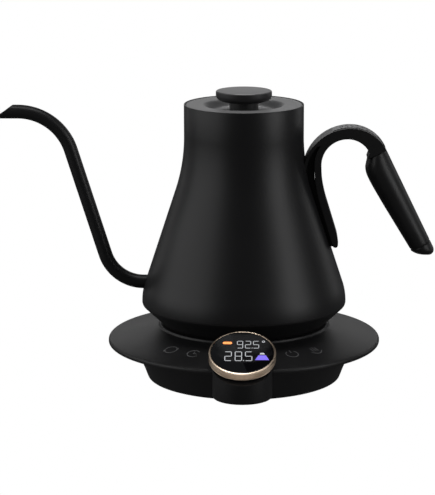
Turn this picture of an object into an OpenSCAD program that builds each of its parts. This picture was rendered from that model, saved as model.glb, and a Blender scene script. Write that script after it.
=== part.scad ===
// Gooseneck electric kettle on a round power base with a dial display.
// Millimetres, +Z up. The origin is on the kettle's axis at table level,
// the handle points along +X, the spout along -X and the dial along -Y.

/* [Kettle body] */
// Largest outside radius of the body, low down
body_r = 71.2; // [60:0.2:86]
// Outside radius of the neck
neck_r = 41.4; // [35:0.2:50]
// Height of the body's rim above the table
rim_z = 195.2; // [188:0.2:235]
// Length of the straight neck below the rim
neck_length = 22.35; // [18:0.05:26]
// Height of the upright band above the body's lower corner
band_h = 1.6; // [1.2:0.1:4]
// Radius of the curve from flank to neck
shoulder_curve_r = 120; // [60:1:130]
// Radius of the curve from flank to the vertical band
hip_curve_r = 40; // [20:1:45]
// Thickness of the steel sheet
sheet_t = 0.8; // [0.5:0.05:1]
// Height of the corner where the body turns under
corner_z = 55; // [54:0.5:56]
// Radius of the kettle's underside
foot_r = 57.6; // [56:0.1:61]
// Height of the steel floor inside the vessel
floor_z = 60; // [59.5:0.1:61]

/* [Spout] */
// Outside radius of the tube
spout_r = 4; // [3.8:0.1:5]
// Thickness of the tube's wall
spout_wall = 0.8; // [0.5:0.1:1]
// Height at which the tube leaves the body
spout_z = 69.4; // [67:0.2:75]
// Distance from the body to the lower knee of the tube's route
spout_reach = 19.45; // [18:0.05:26]
// Lean of the tube's straight rise away from the body
spout_lean = 17.35; // [14:0.1:22]
// Radius of the lower bend
lower_bend_r = 28; // [22:0.5:28]
// Radius of the upper bend
upper_bend_r = 38.1; // [25:0.1:45]
// Height of the rim above the tube's centre at the tip
tip_drop = 5.7; // [0:0.1:20]
// Length of the straight tip
tip_length = 15.7; // [14:0.1:22]
// Angle of the slanted cut at the tip
tip_cut_angle = 32.5; // [25:0.5:50]

/* [Lid] */
// Gap between the lid's edge and the neck
lid_gap = 0.3; // [0.2:0.05:0.6]
// Radius of the dish in the lid's top
dish_r = 28.5; // [25:0.5:31]
// Depth of the dish
dish_depth = 5; // [3:0.1:5.5]
// Thickness of the lid's moulding
lid_wall = 1.6; // [1.2:0.1:1.8]
// Depth of the lid's skirt below the rim
lid_depth = 19; // [16:0.5:24]
// Radius of the knob
knob_r = 19.35; // [16:0.05:21]
// Radius of the knob's stem
knob_stem_r = 10; // [7:0.1:11]
// Height of the knob's top above the rim
knob_rise = 9.3; // [9:0.1:12]
// Thickness of the knob's head
knob_t = 7; // [5.5:0.1:7.5]

/* [Handle] */
// Distance from the neck to the top of the arch
crest_reach = 32.3; // [31:0.1:35]
// Height of the rim above the top of the arch
crest_drop = 15.6; // [12:0.1:20]
// Thickness of the arm at the top of the arch
arm_t = 7.4; // [6.6:0.1:8.5]
// Width of the arm, front to back
arm_w = 20; // [18:0.5:24]
// Thickness of the arm's strap beside the body
strap_t = 4.8; // [4:0.1:5.2]
// Thickness of the flange over the bracket
flange_t = 2.2; // [1.8:0.1:2.6]
// Height of the strap's lower end
strap_end_z = 96; // [92:0.5:104]
// Width of the bracket between body and strap
bracket_w = 12; // [9:0.5:15]
// Lean of the grip from upright
grip_lean = 26; // [24:0.5:28]
// Length of the grip's shell
grip_length = 72; // [66:0.5:80]
// Greatest thickness of the grip
grip_t = 19.8; // [18:0.1:22]
// Greatest width of the grip, front to back
grip_w = 23; // [21:0.5:26]
// Thickness of the grip's shell at its lower end
grip_end_t = 15; // [14:0.1:17]
// Width of the thumb pad
pad_w = 13; // [9:0.5:15]
// Thickness of the thumb pad
pad_t = 1.4; // [1:0.1:1.8]

/* [Power base] */
// Outside radius of the brim
brim_r = 95; // [92:0.5:115]
// Height of the brim's upper edge above the table
brim_z = 31; // [30.5:0.1:32]
// Thickness of the brim at its edge
brim_edge_t = 3.6; // [3:0.1:4]
// Outside radius of the underbody at its bottom
pan_r = 67.8; // [66:0.2:69]
// Outside radius of the underbody where it meets the brim
pan_top_r = 79; // [78.5:0.2:81]
// Thickness of the base's mouldings
base_wall = 2.4; // [2:0.1:2.6]
// Height of the raised ring around the seat
seat_ring_z = 41; // [40.5:0.1:41.2]
// Depth of the seat inside the ring
seat_depth = 2.4; // [2:0.1:2.6]
// Thickness of the rubber feet
foot_t = 2.6; // [2:0.1:3]
// Radius of the rubber feet
pad_foot_r = 6; // [5:0.5:8]

/* [Dial] */
// Gap between the kettle's body and the dial's ring
dial_gap = 3.453; // [1.5:0.001:8]
// Height of the dial's face at its centre
dial_z = 43.5; // [43:0.5:45]
// Tilt of the dial towards the front
dial_tilt = 25; // [18:0.5:26]
// Height of the knurled ring
ring_h = 5.6; // [4.8:0.1:6]
// Radius of the display glass
glass_r = 21.05; // [20.5:0.05:27]
// Width of the knurled ring around the glass
ring_w = 1.4; // [1.2:0.05:3]
// How far the upright housing stands back under the ring
column_step = 2.55; // [2:0.05:3.5]
// Height of the housing's underside above the table
column_z = 12.8; // [10:0.1:14]
// Travel of the dial when it is pressed
press_travel = 0.8; // [0.4:0.1:0.8]

/* [Cord inlet] */
// Radius of the hole that the mains cord goes through
cord_hole_r = 3.3; // [3:0.1:3.8]
// Height of the hole above the table
cord_hole_z = 15; // [14:0.5:16]

/* [Hidden] */
$fn = 64;
eps = 0.01;

// Clearances
fit_gap = 0.1;       // between pieces that are pushed together
weld_gap = 0.05;     // between pieces that are welded or glued
running_gap = 0.05;  // between a shaft and its bore
seat_gap = 0.1;      // under the kettle where it stands on the base
free_gap = 0.3;      // beside pieces that pass each other freely

// Body
hip_start_z = corner_z + band_h;
shoulder_end_z = rim_z - neck_length;
// The straight flank touches both curves
curve_dx = neck_r + shoulder_curve_r - body_r + hip_curve_r;
curve_dz = shoulder_end_z - hip_start_z;
flank_angle = atan2(curve_dz, curve_dx)
    - acos((hip_curve_r + shoulder_curve_r) / norm([curve_dx, curve_dz]));
vessel_z = corner_z + 1;
underside_z = seat_ring_z + 0.4;

// Lid
lid_r = neck_r - sheet_t - lid_gap;
lid_top_z = rim_z - 0.3;
neck_ring_w = 1.85;
neck_ring_z = rim_z - 8.2;
neck_ring_h = 2;
lid_flange_z = neck_ring_z + 1.4;
lid_skirt_r = neck_r - sheet_t - neck_ring_w - 0.7;
lid_bottom_z = rim_z - lid_depth;
dish_floor_z = lid_top_z - dish_depth;
knob_top_z = rim_z + knob_rise;
knob_hole_r = 1.75;

// Handle: the two sides of the arch have their own radii
crest_x = neck_r + crest_reach;
crest_z = rim_z - crest_drop;
arch_left_r = 33;
arch_right_r = 27;
arch_left_c = [crest_x, crest_z - arch_left_r];
arch_right_c = [crest_x, crest_z - arch_right_r];
hollow_left_r = 18;
hollow_right_r = 16.5;
hollow_x = crest_x - 2.2;
hollow_z = crest_z - arm_t;
hollow_left_c = [hollow_x, hollow_z - hollow_left_r];
hollow_right_c = [hollow_x, hollow_z - hollow_right_r];
strap_curve_r = 90;
strap_angle = flank_angle - 1.2;
strap_c = [hollow_x - hollow_left_r + strap_curve_r, hollow_left_c[1]];
strap_bend = [strap_c[0] - strap_curve_r * cos(strap_angle),
              strap_c[1] - strap_curve_r * sin(strap_angle)];
seam_x = arch_right_c[0] + arch_right_r * cos(grip_lean);
seam_z = arch_right_c[1] + arch_right_r * sin(grip_lean);
seam_t = 14.4;
core_inset = 3.6;
core_t = 8;
core_w = 12;
core_length = 60;
pad_proud = 0.3;
pad_start_angle = 112;
pad_end_angle = 48;
handle_screw_z = [crest_z - 39.6, crest_z - 22.6];
handle_screw_r = 1.5;
screw_head_r = 2.8;
screw_sink = 1.4;    // depth of a screw head's recess in the undersides

// Heater, under the vessel's floor
spreader_r = 54;
spreader_t = 2;
element_r = 48;
element_h = 5;
spreader_z = floor_z - sheet_t - weld_gap - spreader_t;
element_z = spreader_z - weld_gap - element_h;
stud_place_r = 38;
stud_angles = [30, 150, 270];
stud_r = 3.2;
skirt_screw_r = 1.5;
probe_y = -30;
probe_r = 3;

// Connector between kettle and base
hub_r = 18;
hub_top_z = 47;
socket_r = hub_r + 1.2;
connector_r = socket_r + 6;
connector_flange_r = connector_r + 2.6;
skirt_plate_z = underside_z + base_wall;
collar_z = 50;
connector_lid_z = collar_z + fit_gap + 0.8;
core_disc_t = 2.9;
contact_ring_r = [8.4, 12.4];
contact_pin_r = 2.2;

// Base
pan_z = foot_t;
brim_low_z = brim_z - brim_edge_t;
seat_z = seat_ring_z - seat_depth;
seat_r = foot_r - 2.5;
foot_ring_r = seat_r - 2.5;
foot_ring_w = 6;
ring_out_r = foot_r + 1.6;
cone_in_r = ring_out_r + 1.9;
cone_in_z = seat_ring_z - 1.7;
cone_out_r = brim_r - 1.4;
pan_flange_r = brim_r - 2.6;
boss_place_r = 60;
boss_r = 4;
boss_angles = [50, 130, 230, 310];
boss_screw_r = 1.5;
foot_place_r = 54;
foot_angles = [40, 140, 220, 320];
board_z = 8;
board_t = 1.6;
touch_place_r = 75;
touch_angles = [-130, -116, -64, -50];
gland_r = 5;
gland_flange_r = 6.5;
gland_in_y = pan_r - 3.2;
gland_out_y = pan_r + 10.2;

// Dial, measured down its own axis from the glass
ring_r = glass_r + ring_w;
column_r = ring_r - column_step;
dial_y = body_r + ring_r * cos(dial_tilt) + dial_gap;
glass_t = 1;
carrier_r = glass_r - 1.45;
carrier_wall = 1;
ring_step = 1.85;
retainer_t = 0.75;
stem_r = 11;
stem_bottom = 16;
column_wall = 2.2;
column_cut = ring_h + retainer_t + press_travel + 0.4;
guide_t = 2;
board_drop = 21.5;
// The housing's own neck, which joins it to the underbody
neck_w = 22;
neck_low_z = 15;
neck_h = 10;
neck_out_y = dial_y - column_r + 2.6;
neck_in_y = pan_r - 2.8;

// ---------- shared shapes ----------

// Points on an arc about c, from angle a0 to a1
function arc(c, r, a0, a1, n) =
    [for (i = [0:n]) let (a = a0 + (a1 - a0) * i / n) [c[0] + r * cos(a), c[1] + r * sin(a)]];

function reversed(points) = [for (i = [len(points) - 1:-1:0]) points[i]];

// The body's outline from height z0 up to the rim, moved inwards by t
function flank(t, z0, z1) = concat(
    [[body_r - t, z0]],
    arc([body_r - hip_curve_r, hip_start_z], hip_curve_r - t, 0, flank_angle, 6),
    arc([neck_r + shoulder_curve_r, shoulder_end_z], shoulder_curve_r + t,
        180 + flank_angle, 180, 12),
    [[neck_r - t, z1]]);

// A ring of rectangular section
module ring(r_in, r_out, z0, z1)
    rotate_extrude() polygon([[r_in, z0], [r_out, z0], [r_out, z1], [r_in, z1]]);

// A flat outline in the XZ plane, made w thick about Y = 0
module upright(w)
    rotate([90, 0, 0]) translate([0, 0, -w / 2]) linear_extrude(w) children();

// Copies at each angle, r from the axis
module around(angles, r)
    for (a = angles) rotate([0, 0, a]) translate([r, 0, 0]) children();

// The solid that the body's outside encloses, grown by gap
module body_envelope(gap)
    rotate_extrude() polygon(concat([[0, corner_z]], flank(-gap, corner_z, rim_z), [[0, rim_z]]));

// The dial's own frame: its centre at the glass, +Z out of the face
module at_dial()
    translate([0, -dial_y, dial_z]) rotate([dial_tilt, 0, 0]) children();

// The grip's own frame: +Z down the grip, +X from its outer line inwards
module at_grip()
    translate([seam_x, 0, seam_z]) rotate([0, 180 - grip_lean, 0]) children();

// A cheese-head screw, head down, its head's underside at z = 0
module screw(r, length, head_r, head_h) {
    translate([0, 0, -head_h]) cylinder(r = head_r, h = head_h);
    cylinder(r = r, h = length);
}

// ---------- power base ----------

module base_top_section() polygon([
    [hub_r + fit_gap, seat_z], [seat_r - 0.6, seat_z], [seat_r, seat_ring_z - 0.5],
    [seat_r + 0.5, seat_ring_z], [ring_out_r - 0.5, seat_ring_z], [ring_out_r, seat_ring_z - 0.5],
    [ring_out_r + 0.4, seat_ring_z - 1.2],
    [cone_in_r, cone_in_z], [cone_out_r, brim_z],
    [brim_r - 0.5, brim_z - 0.4], [brim_r, brim_z - 1.3],
    [brim_r, brim_low_z + 1.3], [brim_r - 0.5, brim_low_z + 0.4], [brim_r - 1.4, brim_low_z],
    [pan_flange_r + fit_gap, brim_low_z], [pan_flange_r + fit_gap, brim_z - base_wall + 0.6],
    [cone_in_r, cone_in_z - base_wall], [seat_r, seat_z - base_wall],
    [hub_r + fit_gap, seat_z - base_wall]]);

module dial_notch(gap, z0)
    translate([0, -dial_y, z0]) cylinder(r = column_r + gap, h = 60);

module base_top() color("#1b1b1d") {
    difference() {
        union() {
            rotate_extrude() base_top_section();
            around(boss_angles, boss_place_r)
                translate([0, 0, pan_z + base_wall + fit_gap])
                    cylinder(r = boss_r, h = seat_z - pan_z - 2 * base_wall);
        }
        dial_notch(free_gap, 0);
        around(boss_angles, boss_place_r)
            translate([0, 0, pan_z]) cylinder(r = boss_screw_r + weld_gap, h = 16);
    }
}

// Outside radius of the underbody at height z
function pan_outside(z) =
    pan_r + (pan_top_r - pan_r) * pow((z - pan_z) / (brim_low_z - pan_z), 1.3);

pan_heights = [for (i = [1:8]) pan_z + 1.2 + (brim_low_z - pan_z - 1.2) * i / 8];

module base_pan() color("#161617") difference() {
    rotate_extrude() polygon(concat(
        [[0, pan_z], [pan_r - 1, pan_z], [pan_outside(pan_z + 1.2), pan_z + 1.2]],
        [for (z = pan_heights) [pan_outside(z), z]],
        [[pan_flange_r, brim_low_z], [pan_flange_r, brim_low_z + 1.8],
         [pan_top_r - base_wall, brim_low_z + 1.8]],
        [for (z = reversed(pan_heights)) [pan_outside(z) - base_wall, z]],
        [[pan_r - base_wall, pan_z + base_wall], [0, pan_z + base_wall]]));
    dial_notch(fit_gap, column_z - fit_gap);
    translate([-neck_w / 2 - fit_gap, -dial_y, neck_low_z - fit_gap])
        cube([neck_w + 2 * fit_gap, dial_y - neck_in_y + 10, neck_h + 2 * fit_gap]);
    around(boss_angles, boss_place_r) translate([0, 0, pan_z - eps]) {
        cylinder(r = boss_screw_r + fit_gap, h = base_wall + 1);
        cylinder(r = screw_head_r + fit_gap, h = screw_sink + eps);
    }
    translate([0, 0, cord_hole_z]) rotate([-90, 0, 0])
        cylinder(r = gland_r + fit_gap, h = pan_top_r);
}

module base_feet() color("#0f0f0f") around(foot_angles, foot_place_r) {
    translate([0, 0, 0.6]) cylinder(r = pad_foot_r, h = foot_t - 0.6);
    cylinder(r1 = pad_foot_r - 0.6, r2 = pad_foot_r, h = 0.6);
}

module base_screws() color("#8d8f92") around(boss_angles, boss_place_r)
    translate([0, 0, pan_z + screw_sink]) screw(boss_screw_r, 12, screw_head_r, 1.3);

module base_connector() color("#202022") difference() {
    union() {
        translate([0, 0, seat_z - 8]) cylinder(r = hub_r, h = hub_top_z - seat_z + 8);
        ring(hub_r - 1, hub_r + 4, seat_z - base_wall - fit_gap - 2, seat_z - base_wall - fit_gap);
    }
    for (r = contact_ring_r) ring(r - 1.2, r + 1.2, hub_top_z - 6, hub_top_z + 1);
    translate([0, 0, hub_top_z - 12]) cylinder(r = contact_pin_r + 0.8, h = 13);
}

module contact_rings() color("#b08d57") {
    for (r = contact_ring_r)
        ring(r - 1.1, r + 1.1, hub_top_z - 6 + weld_gap, hub_top_z - 5);
    translate([0, 0, hub_top_z - 12 + weld_gap])
        cylinder(r = contact_pin_r + 0.7, h = 1);
}

module power_board() color("#2f5d3a") difference() {
    translate([-40, -36, board_z]) cube([80, 72, board_t]);
    around(boss_angles, boss_place_r)
        translate([0, 0, board_z - 1]) cylinder(r = boss_r + 1, h = board_t + 2);
}

// Relay, transformer, two capacitors, fuse and ribbon header on the board
module power_parts() color("#3a3f46") translate([0, 0, board_z + board_t + weld_gap]) {
    translate([-34, 6, 0]) cube([19, 15.5, 15]);
    translate([12, 2, 0]) cube([18, 20, 14]);
    translate([-6, 18, 0]) cylinder(r = 5, h = 14);
    translate([3, 27, 0]) cylinder(r = 4, h = 12);
    translate([-28, -8, 0]) cube([20, 5.2, 5.2]);
    translate([-6, -34, 0]) cube([12, 6, 11]);
}

module touch_board() color("#2f5d3a") difference() {
    intersection() {
        ring(66, 80, brim_low_z + 1.9, brim_low_z + 3.1);
        translate([-100, -100, 0]) cube([200, 62, 100]);
    }
    dial_notch(1.2, 0);
    around(boss_angles, boss_place_r) cylinder(r = boss_r + 0.5, h = 60);
}

module touch_pads() color("#b08d57") around(touch_angles, touch_place_r)
    translate([0, 0, brim_low_z + 3.1 + weld_gap]) cylinder(r = 3.6, h = 1.1);

// Half space below a plane square to the dial's axis
module below_dial(drop)
    at_dial() translate([-60, -60, -drop - 120]) cube([120, 120, 120]);

module dial_housing() color("#121213") difference() {
    union() {
        difference() {
            intersection() {
                translate([0, -dial_y, column_z]) cylinder(r = column_r, h = 50);
                below_dial(column_cut);
            }
            intersection() {
                translate([0, -dial_y, column_z + guide_t])
                    cylinder(r = column_r - column_wall, h = 50);
                below_dial(column_cut + guide_t);
            }
        }
        at_dial() ring(stem_r + running_gap, stem_r + 1.6, -column_cut - 7, -column_cut - 1);
        intersection() {
            translate([-6, -dial_y + 2, column_z + 1]) cube([12, 11, 40]);
            below_dial(board_drop + board_t + weld_gap);
        }
        translate([-neck_w / 2, -neck_out_y, neck_low_z])
            cube([neck_w, neck_out_y - neck_in_y, neck_h]);
    }
    at_dial() translate([0, 0, -column_cut - guide_t - 6])
        cylinder(r = stem_r + running_gap, h = guide_t + 7);
    translate([-neck_w / 2 + 2, -neck_out_y - 3.4, neck_low_z + 2])
        cube([neck_w - 4, neck_out_y - neck_in_y + 8, neck_h - 4]);
}

// Small board with the push switch under the dial's stem
module dial_board() color("#2f5d3a") at_dial() {
    translate([-8, -6, -board_drop - board_t]) cube([16, 12, board_t]);
    translate([-3, -3, -board_drop - eps]) cube([6, 6, 3.5]);
    translate([0, 0, -stem_bottom - press_travel - 2])
        cylinder(r = 1.7, h = 1.9);
}

module dial_cable() color("#55585c")
    translate([-4, -dial_y + column_r - 4, neck_low_z + 3])
        cube([8, dial_y - column_r + 4 - 34.5, 0.9]);

// Rubber bush, flanged on both sides of the underbody's wall
module cord_gland() color("#101010") translate([0, 0, cord_hole_z]) rotate([-90, 0, 0])
    difference() {
        union() {
            translate([0, 0, gland_in_y]) cylinder(r = gland_r, h = gland_out_y - gland_in_y);
            translate([0, 0, gland_out_y - 2.2]) cylinder(r = gland_flange_r, h = 2.2);
            translate([0, 0, gland_in_y]) cylinder(r = gland_flange_r, h = 2);
        }
        cylinder(r = cord_hole_r, h = 200);
    }

// ---------- dial head ----------

module dial_carrier() color("#1a1a1c") at_dial() {
    difference() {
        union() {
            translate([0, 0, -ring_h - fit_gap])
                cylinder(r = carrier_r, h = ring_h + fit_gap - glass_t - 0.2);
            translate([0, 0, -ring_step + fit_gap])
                cylinder(r = glass_r, h = ring_step - fit_gap - glass_t - weld_gap);
        }
        translate([0, 0, -ring_h + 0.9]) cylinder(r = carrier_r - carrier_wall, h = 20);
    }
    difference() {
        translate([0, 0, -stem_bottom]) cylinder(r = stem_r, h = stem_bottom - ring_h);
        translate([0, 0, -stem_bottom + 1.5])
            cylinder(r = stem_r - 1.5, h = stem_bottom - ring_h - 1.5 - fit_gap);
    }
}

module display_board() color("#2f5d3a") at_dial()
    translate([0, 0, -ring_h + 0.95]) cylinder(r = carrier_r - carrier_wall - fit_gap, h = 1.2);

module display_panel() color("#0c0c0e") at_dial()
    translate([-14, -11, -ring_h + 2.2]) cube([28, 22, ring_h - 2.25 - glass_t]);

module display_lens() color("#0a0a0c") at_dial() {
    translate([0, 0, -glass_t]) cylinder(r = glass_r, h = glass_t - 0.2);
    translate([0, 0, -0.2]) cylinder(r1 = glass_r, r2 = glass_r - 0.2, h = 0.2);
}

module dial_retainer() color("#8d8f92") at_dial()
    ring(stem_r + fit_gap, ring_r - 1.1, -ring_h - fit_gap - weld_gap - retainer_t,
         -ring_h - fit_gap - weld_gap);

module dial_ring() color("#8f7f66") at_dial() rotate_extrude() polygon([
    [glass_r + 0.15, -ring_step], [glass_r + 0.15, 0], [glass_r + 0.3, 0.15],
    [ring_r - 0.45, 0.15], [ring_r, -0.3],
    [ring_r, -ring_h + 0.3], [ring_r - 0.3, -ring_h],
    [ring_r - 1, -ring_h], [ring_r - 1, -ring_h + 1.4],
    [carrier_r + 0.45, -ring_h + 1.4], [carrier_r + 0.45, -ring_h],
    [carrier_r + running_gap, -ring_h], [carrier_r + running_gap, -ring_step]]);

module dial_magnet() color("#4a4a4a") at_dial()
    ring(carrier_r + 0.45 + weld_gap, ring_r - 1 - weld_gap, -ring_h + weld_gap, -ring_h + 1.35);

// ---------- connector ----------

module connector_core() color("#202022") difference() {
    translate([0, 0, connector_lid_z - fit_gap - core_disc_t])
        cylinder(r = socket_r - running_gap, h = core_disc_t);
    for (r = contact_ring_r) ring(r - 0.5, r + 0.5, hub_top_z, connector_lid_z - 0.8);
    translate([0, 0, hub_top_z]) cylinder(r = contact_pin_r + weld_gap, h = 10);
}

module kettle_contacts() color("#b08d57") {
    for (r = contact_ring_r)
        ring(r - 0.4, r + 0.4, hub_top_z - 4, connector_lid_z - 0.9);
    translate([0, 0, hub_top_z - 10]) cylinder(r = contact_pin_r, h = connector_lid_z - hub_top_z + 9.8);
}

module kettle_connector() color("#1c1c1e") rotate_extrude() polygon([
    [socket_r - 0.6, seat_z + 1], [connector_r, seat_z + 1],
    [connector_r, collar_z + fit_gap], [connector_flange_r, collar_z + fit_gap],
    [connector_flange_r, connector_lid_z], [socket_r, connector_lid_z],
    [socket_r, connector_lid_z - fit_gap - core_disc_t - 0.1],
    [socket_r - 0.6, connector_lid_z - fit_gap - core_disc_t - 0.1]]);

module connector_cover() color("#1c1c1e") {
    translate([0, 0, connector_lid_z]) cylinder(r = connector_flange_r, h = 1.2);
    for (side = [-1, 1])
        translate([20, side * 10 - 1.5, connector_lid_z + 1.1]) cube([6, 3, 1.4]);
}

// ---------- kettle ----------

module vessel() color("#1d1d1f") difference() {
    rotate_extrude() polygon(concat(
        flank(0, vessel_z, rim_z - 0.4),
        [[neck_r - 0.2, rim_z], [neck_r - sheet_t + 0.2, rim_z]],
        reversed(flank(sheet_t, vessel_z, rim_z - 0.4))));
    translate([-body_r - 5, 0, spout_z]) rotate([0, 90, 0])
        cylinder(r = spout_r + weld_gap, h = 20);
}

module neck_ring() color("#b9bcc0")
    ring(neck_r - sheet_t - neck_ring_w, neck_r - sheet_t - weld_gap,
         neck_ring_z - neck_ring_h, neck_ring_z);

// Radius inside the vessel at its floor
vessel_floor_r = body_r - hip_curve_r - weld_gap
    + sqrt(pow(hip_curve_r - sheet_t, 2) - pow(floor_z - hip_start_z, 2));

module probe_hole(r)
    translate([0, probe_y, floor_z - 12]) cylinder(r = r, h = 20);

module vessel_floor() color("#b9bcc0") difference() {
    rotate_extrude() polygon([
        [0, floor_z - sheet_t], [vessel_floor_r - sheet_t, floor_z - sheet_t],
        [vessel_floor_r - sheet_t, vessel_z + 0.2], [vessel_floor_r, vessel_z + 0.2],
        [vessel_floor_r, floor_z - 0.4], [vessel_floor_r - 0.4, floor_z], [0, floor_z]]);
    probe_hole(probe_r + fit_gap);
}

module heat_spreader() color("#a9abad") difference() {
    union() {
        translate([0, 0, spreader_z]) cylinder(r = spreader_r, h = spreader_t);
        around(stud_angles, stud_place_r)
            translate([0, 0, skirt_plate_z + fit_gap])
                cylinder(r = stud_r, h = spreader_z - skirt_plate_z);
    }
    probe_hole(probe_r + 1.2);
    around(stud_angles, stud_place_r) translate([0, 0, underside_z])
        cylinder(r = skirt_screw_r + weld_gap, h = 10.5);
}

module heating_element() color("#8a8d91") rotate([0, 0, 12]) rotate_extrude(angle = 336)
    polygon([[element_r - 3, element_z + 1.2], [element_r - 1.8, element_z],
             [element_r + 1.8, element_z], [element_r + 3, element_z + 1.2],
             [element_r + 3, element_z + element_h], [element_r - 3, element_z + element_h]]);

module thermal_cutout() color("#d8d4c8")
    translate([-8, 8, spreader_z - weld_gap - 3.2]) cylinder(r = 7.5, h = 3.2);

module temperature_probe() color("#b9bcc0") translate([0, probe_y, 0]) {
    translate([0, 0, floor_z - 7]) cylinder(r = probe_r, h = 12);
    translate([0, 0, floor_z + 5]) cylinder(r1 = probe_r, r2 = probe_r - 1, h = 1);
    translate([0, 0, floor_z - 7]) cylinder(r = probe_r + 1, h = 3);
}

module probe_seal() color("#7a2b22") translate([0, probe_y, 0])
    ring(probe_r + weld_gap, probe_r + 2.2, floor_z + weld_gap, floor_z + 1.4);

module element_leads() color("#9a2d2d") for (side = [-1, 1])
    translate([26 + fit_gap, side * 10, connector_lid_z + 1.9]) rotate([0, 90, 0])
        cylinder(r = 1.1, h = element_r - 3 - 26 - 1.6);

module kettle_skirt() color("#151516") difference() {
    rotate_extrude() polygon([
        [connector_r + fit_gap, underside_z], [foot_ring_r - foot_ring_w, underside_z],
        [foot_ring_r - foot_ring_w, seat_z + seat_gap], [foot_ring_r, seat_z + seat_gap],
        [foot_ring_r, underside_z],
        [foot_r - 0.8, underside_z], [foot_r, underside_z + 0.8],
        [body_r - 0.9, corner_z - 0.8], [body_r - 0.2, corner_z + 0.1],
        [body_r - 0.2, vessel_z - 0.2],
        [vessel_floor_r - sheet_t - 0.2, vessel_z - 0.2],
        [vessel_floor_r - sheet_t - 0.2, floor_z - sheet_t - 1],
        [vessel_floor_r - sheet_t - 2.2, floor_z - sheet_t - 1],
        [vessel_floor_r - sheet_t - 2.2, vessel_z - 1.6],
        [foot_r - 1.6, skirt_plate_z], [connector_flange_r, skirt_plate_z],
        [connector_flange_r, collar_z], [connector_r + fit_gap, collar_z]]);
    around(stud_angles, stud_place_r) translate([0, 0, underside_z - eps]) {
        cylinder(r = skirt_screw_r + fit_gap, h = 10);
        cylinder(r = screw_head_r + fit_gap, h = screw_sink + eps);
    }
}

module skirt_screws() color("#8d8f92") around(stud_angles, stud_place_r)
    translate([0, 0, underside_z + screw_sink]) screw(skirt_screw_r, 8, screw_head_r, 1.3);

// ---------- spout ----------

spout_root_x = body_r - 5.2;
spout_knee_x = body_r + spout_reach;
tip_z = rim_z - tip_drop;
rise_angle = 90 - spout_lean;
knee_half_tan = tan(rise_angle / 2);
top_knee_x = spout_knee_x + (tip_z - spout_z) / tan(rise_angle);
bend_start_x = spout_knee_x - lower_bend_r * knee_half_tan;
rise_length = (tip_z - spout_z) / sin(rise_angle) - (lower_bend_r + upper_bend_r) * knee_half_tan;
tip_start_x = top_knee_x + upper_bend_r * knee_half_tan;
tube_lap = 0.4;
tube_step = 0.02;

// The tube's route filled to radius r, from inside the body to the tip. The bends are
// a hair thinner than the straight runs, which lap over both ends of each bend.
module spout_rod(r, extra) {
    translate([-spout_root_x + extra, 0, spout_z]) rotate([0, -90, 0])
        cylinder(r = r, h = bend_start_x - spout_root_x + extra + tube_lap);
    translate([-bend_start_x, 0, spout_z + lower_bend_r]) rotate([90, 0, 0])
        rotate([0, 0, 270 - rise_angle]) rotate_extrude(angle = rise_angle)
            translate([lower_bend_r, 0]) circle(r = r - tube_step);
    translate([-spout_knee_x, 0, spout_z]) rotate([0, -spout_lean, 0])
        translate([0, 0, lower_bend_r * knee_half_tan - tube_lap])
            cylinder(r = r, h = rise_length + 2 * tube_lap);
    translate([-tip_start_x, 0, tip_z - upper_bend_r]) rotate([90, 0, 0])
        rotate([0, 0, 90 - rise_angle]) rotate_extrude(angle = rise_angle)
            translate([upper_bend_r, 0]) circle(r = r - tube_step);
    translate([-tip_start_x + tube_lap, 0, tip_z]) rotate([0, -90, 0])
        cylinder(r = r, h = tip_length + tube_lap + extra);
}

module spout() color("#1b1b1d") difference() {
    spout_rod(spout_r, 0);
    spout_rod(spout_r - spout_wall, 1);
    translate([-tip_start_x - tip_length, 0, tip_z - spout_r])
        rotate([0, -tip_cut_angle, 0]) translate([-10, -20, 0]) cube([40, 40, 30]);
}

// ---------- handle ----------

function spine(offset) = concat(
    arc(strap_c, strap_curve_r + offset, 180 + strap_angle, 180, 8));

// Point on the strap's straight part at height z, offset towards the body
function strap_x(z, offset) =
    strap_bend[0] + (strap_bend[1] - z) * tan(strap_angle) - offset / cos(strap_angle);

// The space between body, flange and strap that the bracket fills, shrunk by gap,
// with its pointed end set back by an angle
function bracket_outline(gap, back) = concat(
    arc(hollow_left_c, hollow_left_r + strap_t + gap, 145 + back, 180, 6),
    reversed(spine(strap_t + gap)),
    [[strap_x(strap_end_z + gap, strap_t + gap), strap_end_z + gap],
     [neck_r - 8, strap_end_z + gap], [neck_r - 8, arch_left_c[1]]],
    arc(arch_left_c, arch_left_r - flange_t - gap, 180, 138 + back, 8));

module handle_bracket() color("#1d1d1f") difference() {
    upright(bracket_w) polygon(bracket_outline(fit_gap, 1));
    body_envelope(weld_gap);
    handle_screw_holes(weld_gap);
}

module handle_screw_holes(gap)
    for (z = handle_screw_z) translate([neck_r + 2, 0, z]) rotate([0, 90, 0])
        cylinder(r = handle_screw_r + gap, h = 30);

// Where the strap's finger side is at height z
function strap_face_x(z) = z > hollow_left_c[1]
    ? hollow_left_c[0] - sqrt(pow(hollow_left_r, 2) - pow(z - hollow_left_c[1], 2))
    : strap_c[0] - sqrt(pow(strap_curve_r, 2) - pow(z - strap_c[1], 2));

function pad_outline(rise, depth, a0, a1) = concat(
    arc(arch_left_c, arch_left_r + rise, a0, 90, 6),
    arc(arch_right_c, arch_right_r + rise, 84, a1, 8),
    reversed(arc(arch_right_c, arch_right_r - depth, 84, a1, 8)),
    reversed(arc(arch_left_c, arch_left_r - depth, a0, 90, 6)));

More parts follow.
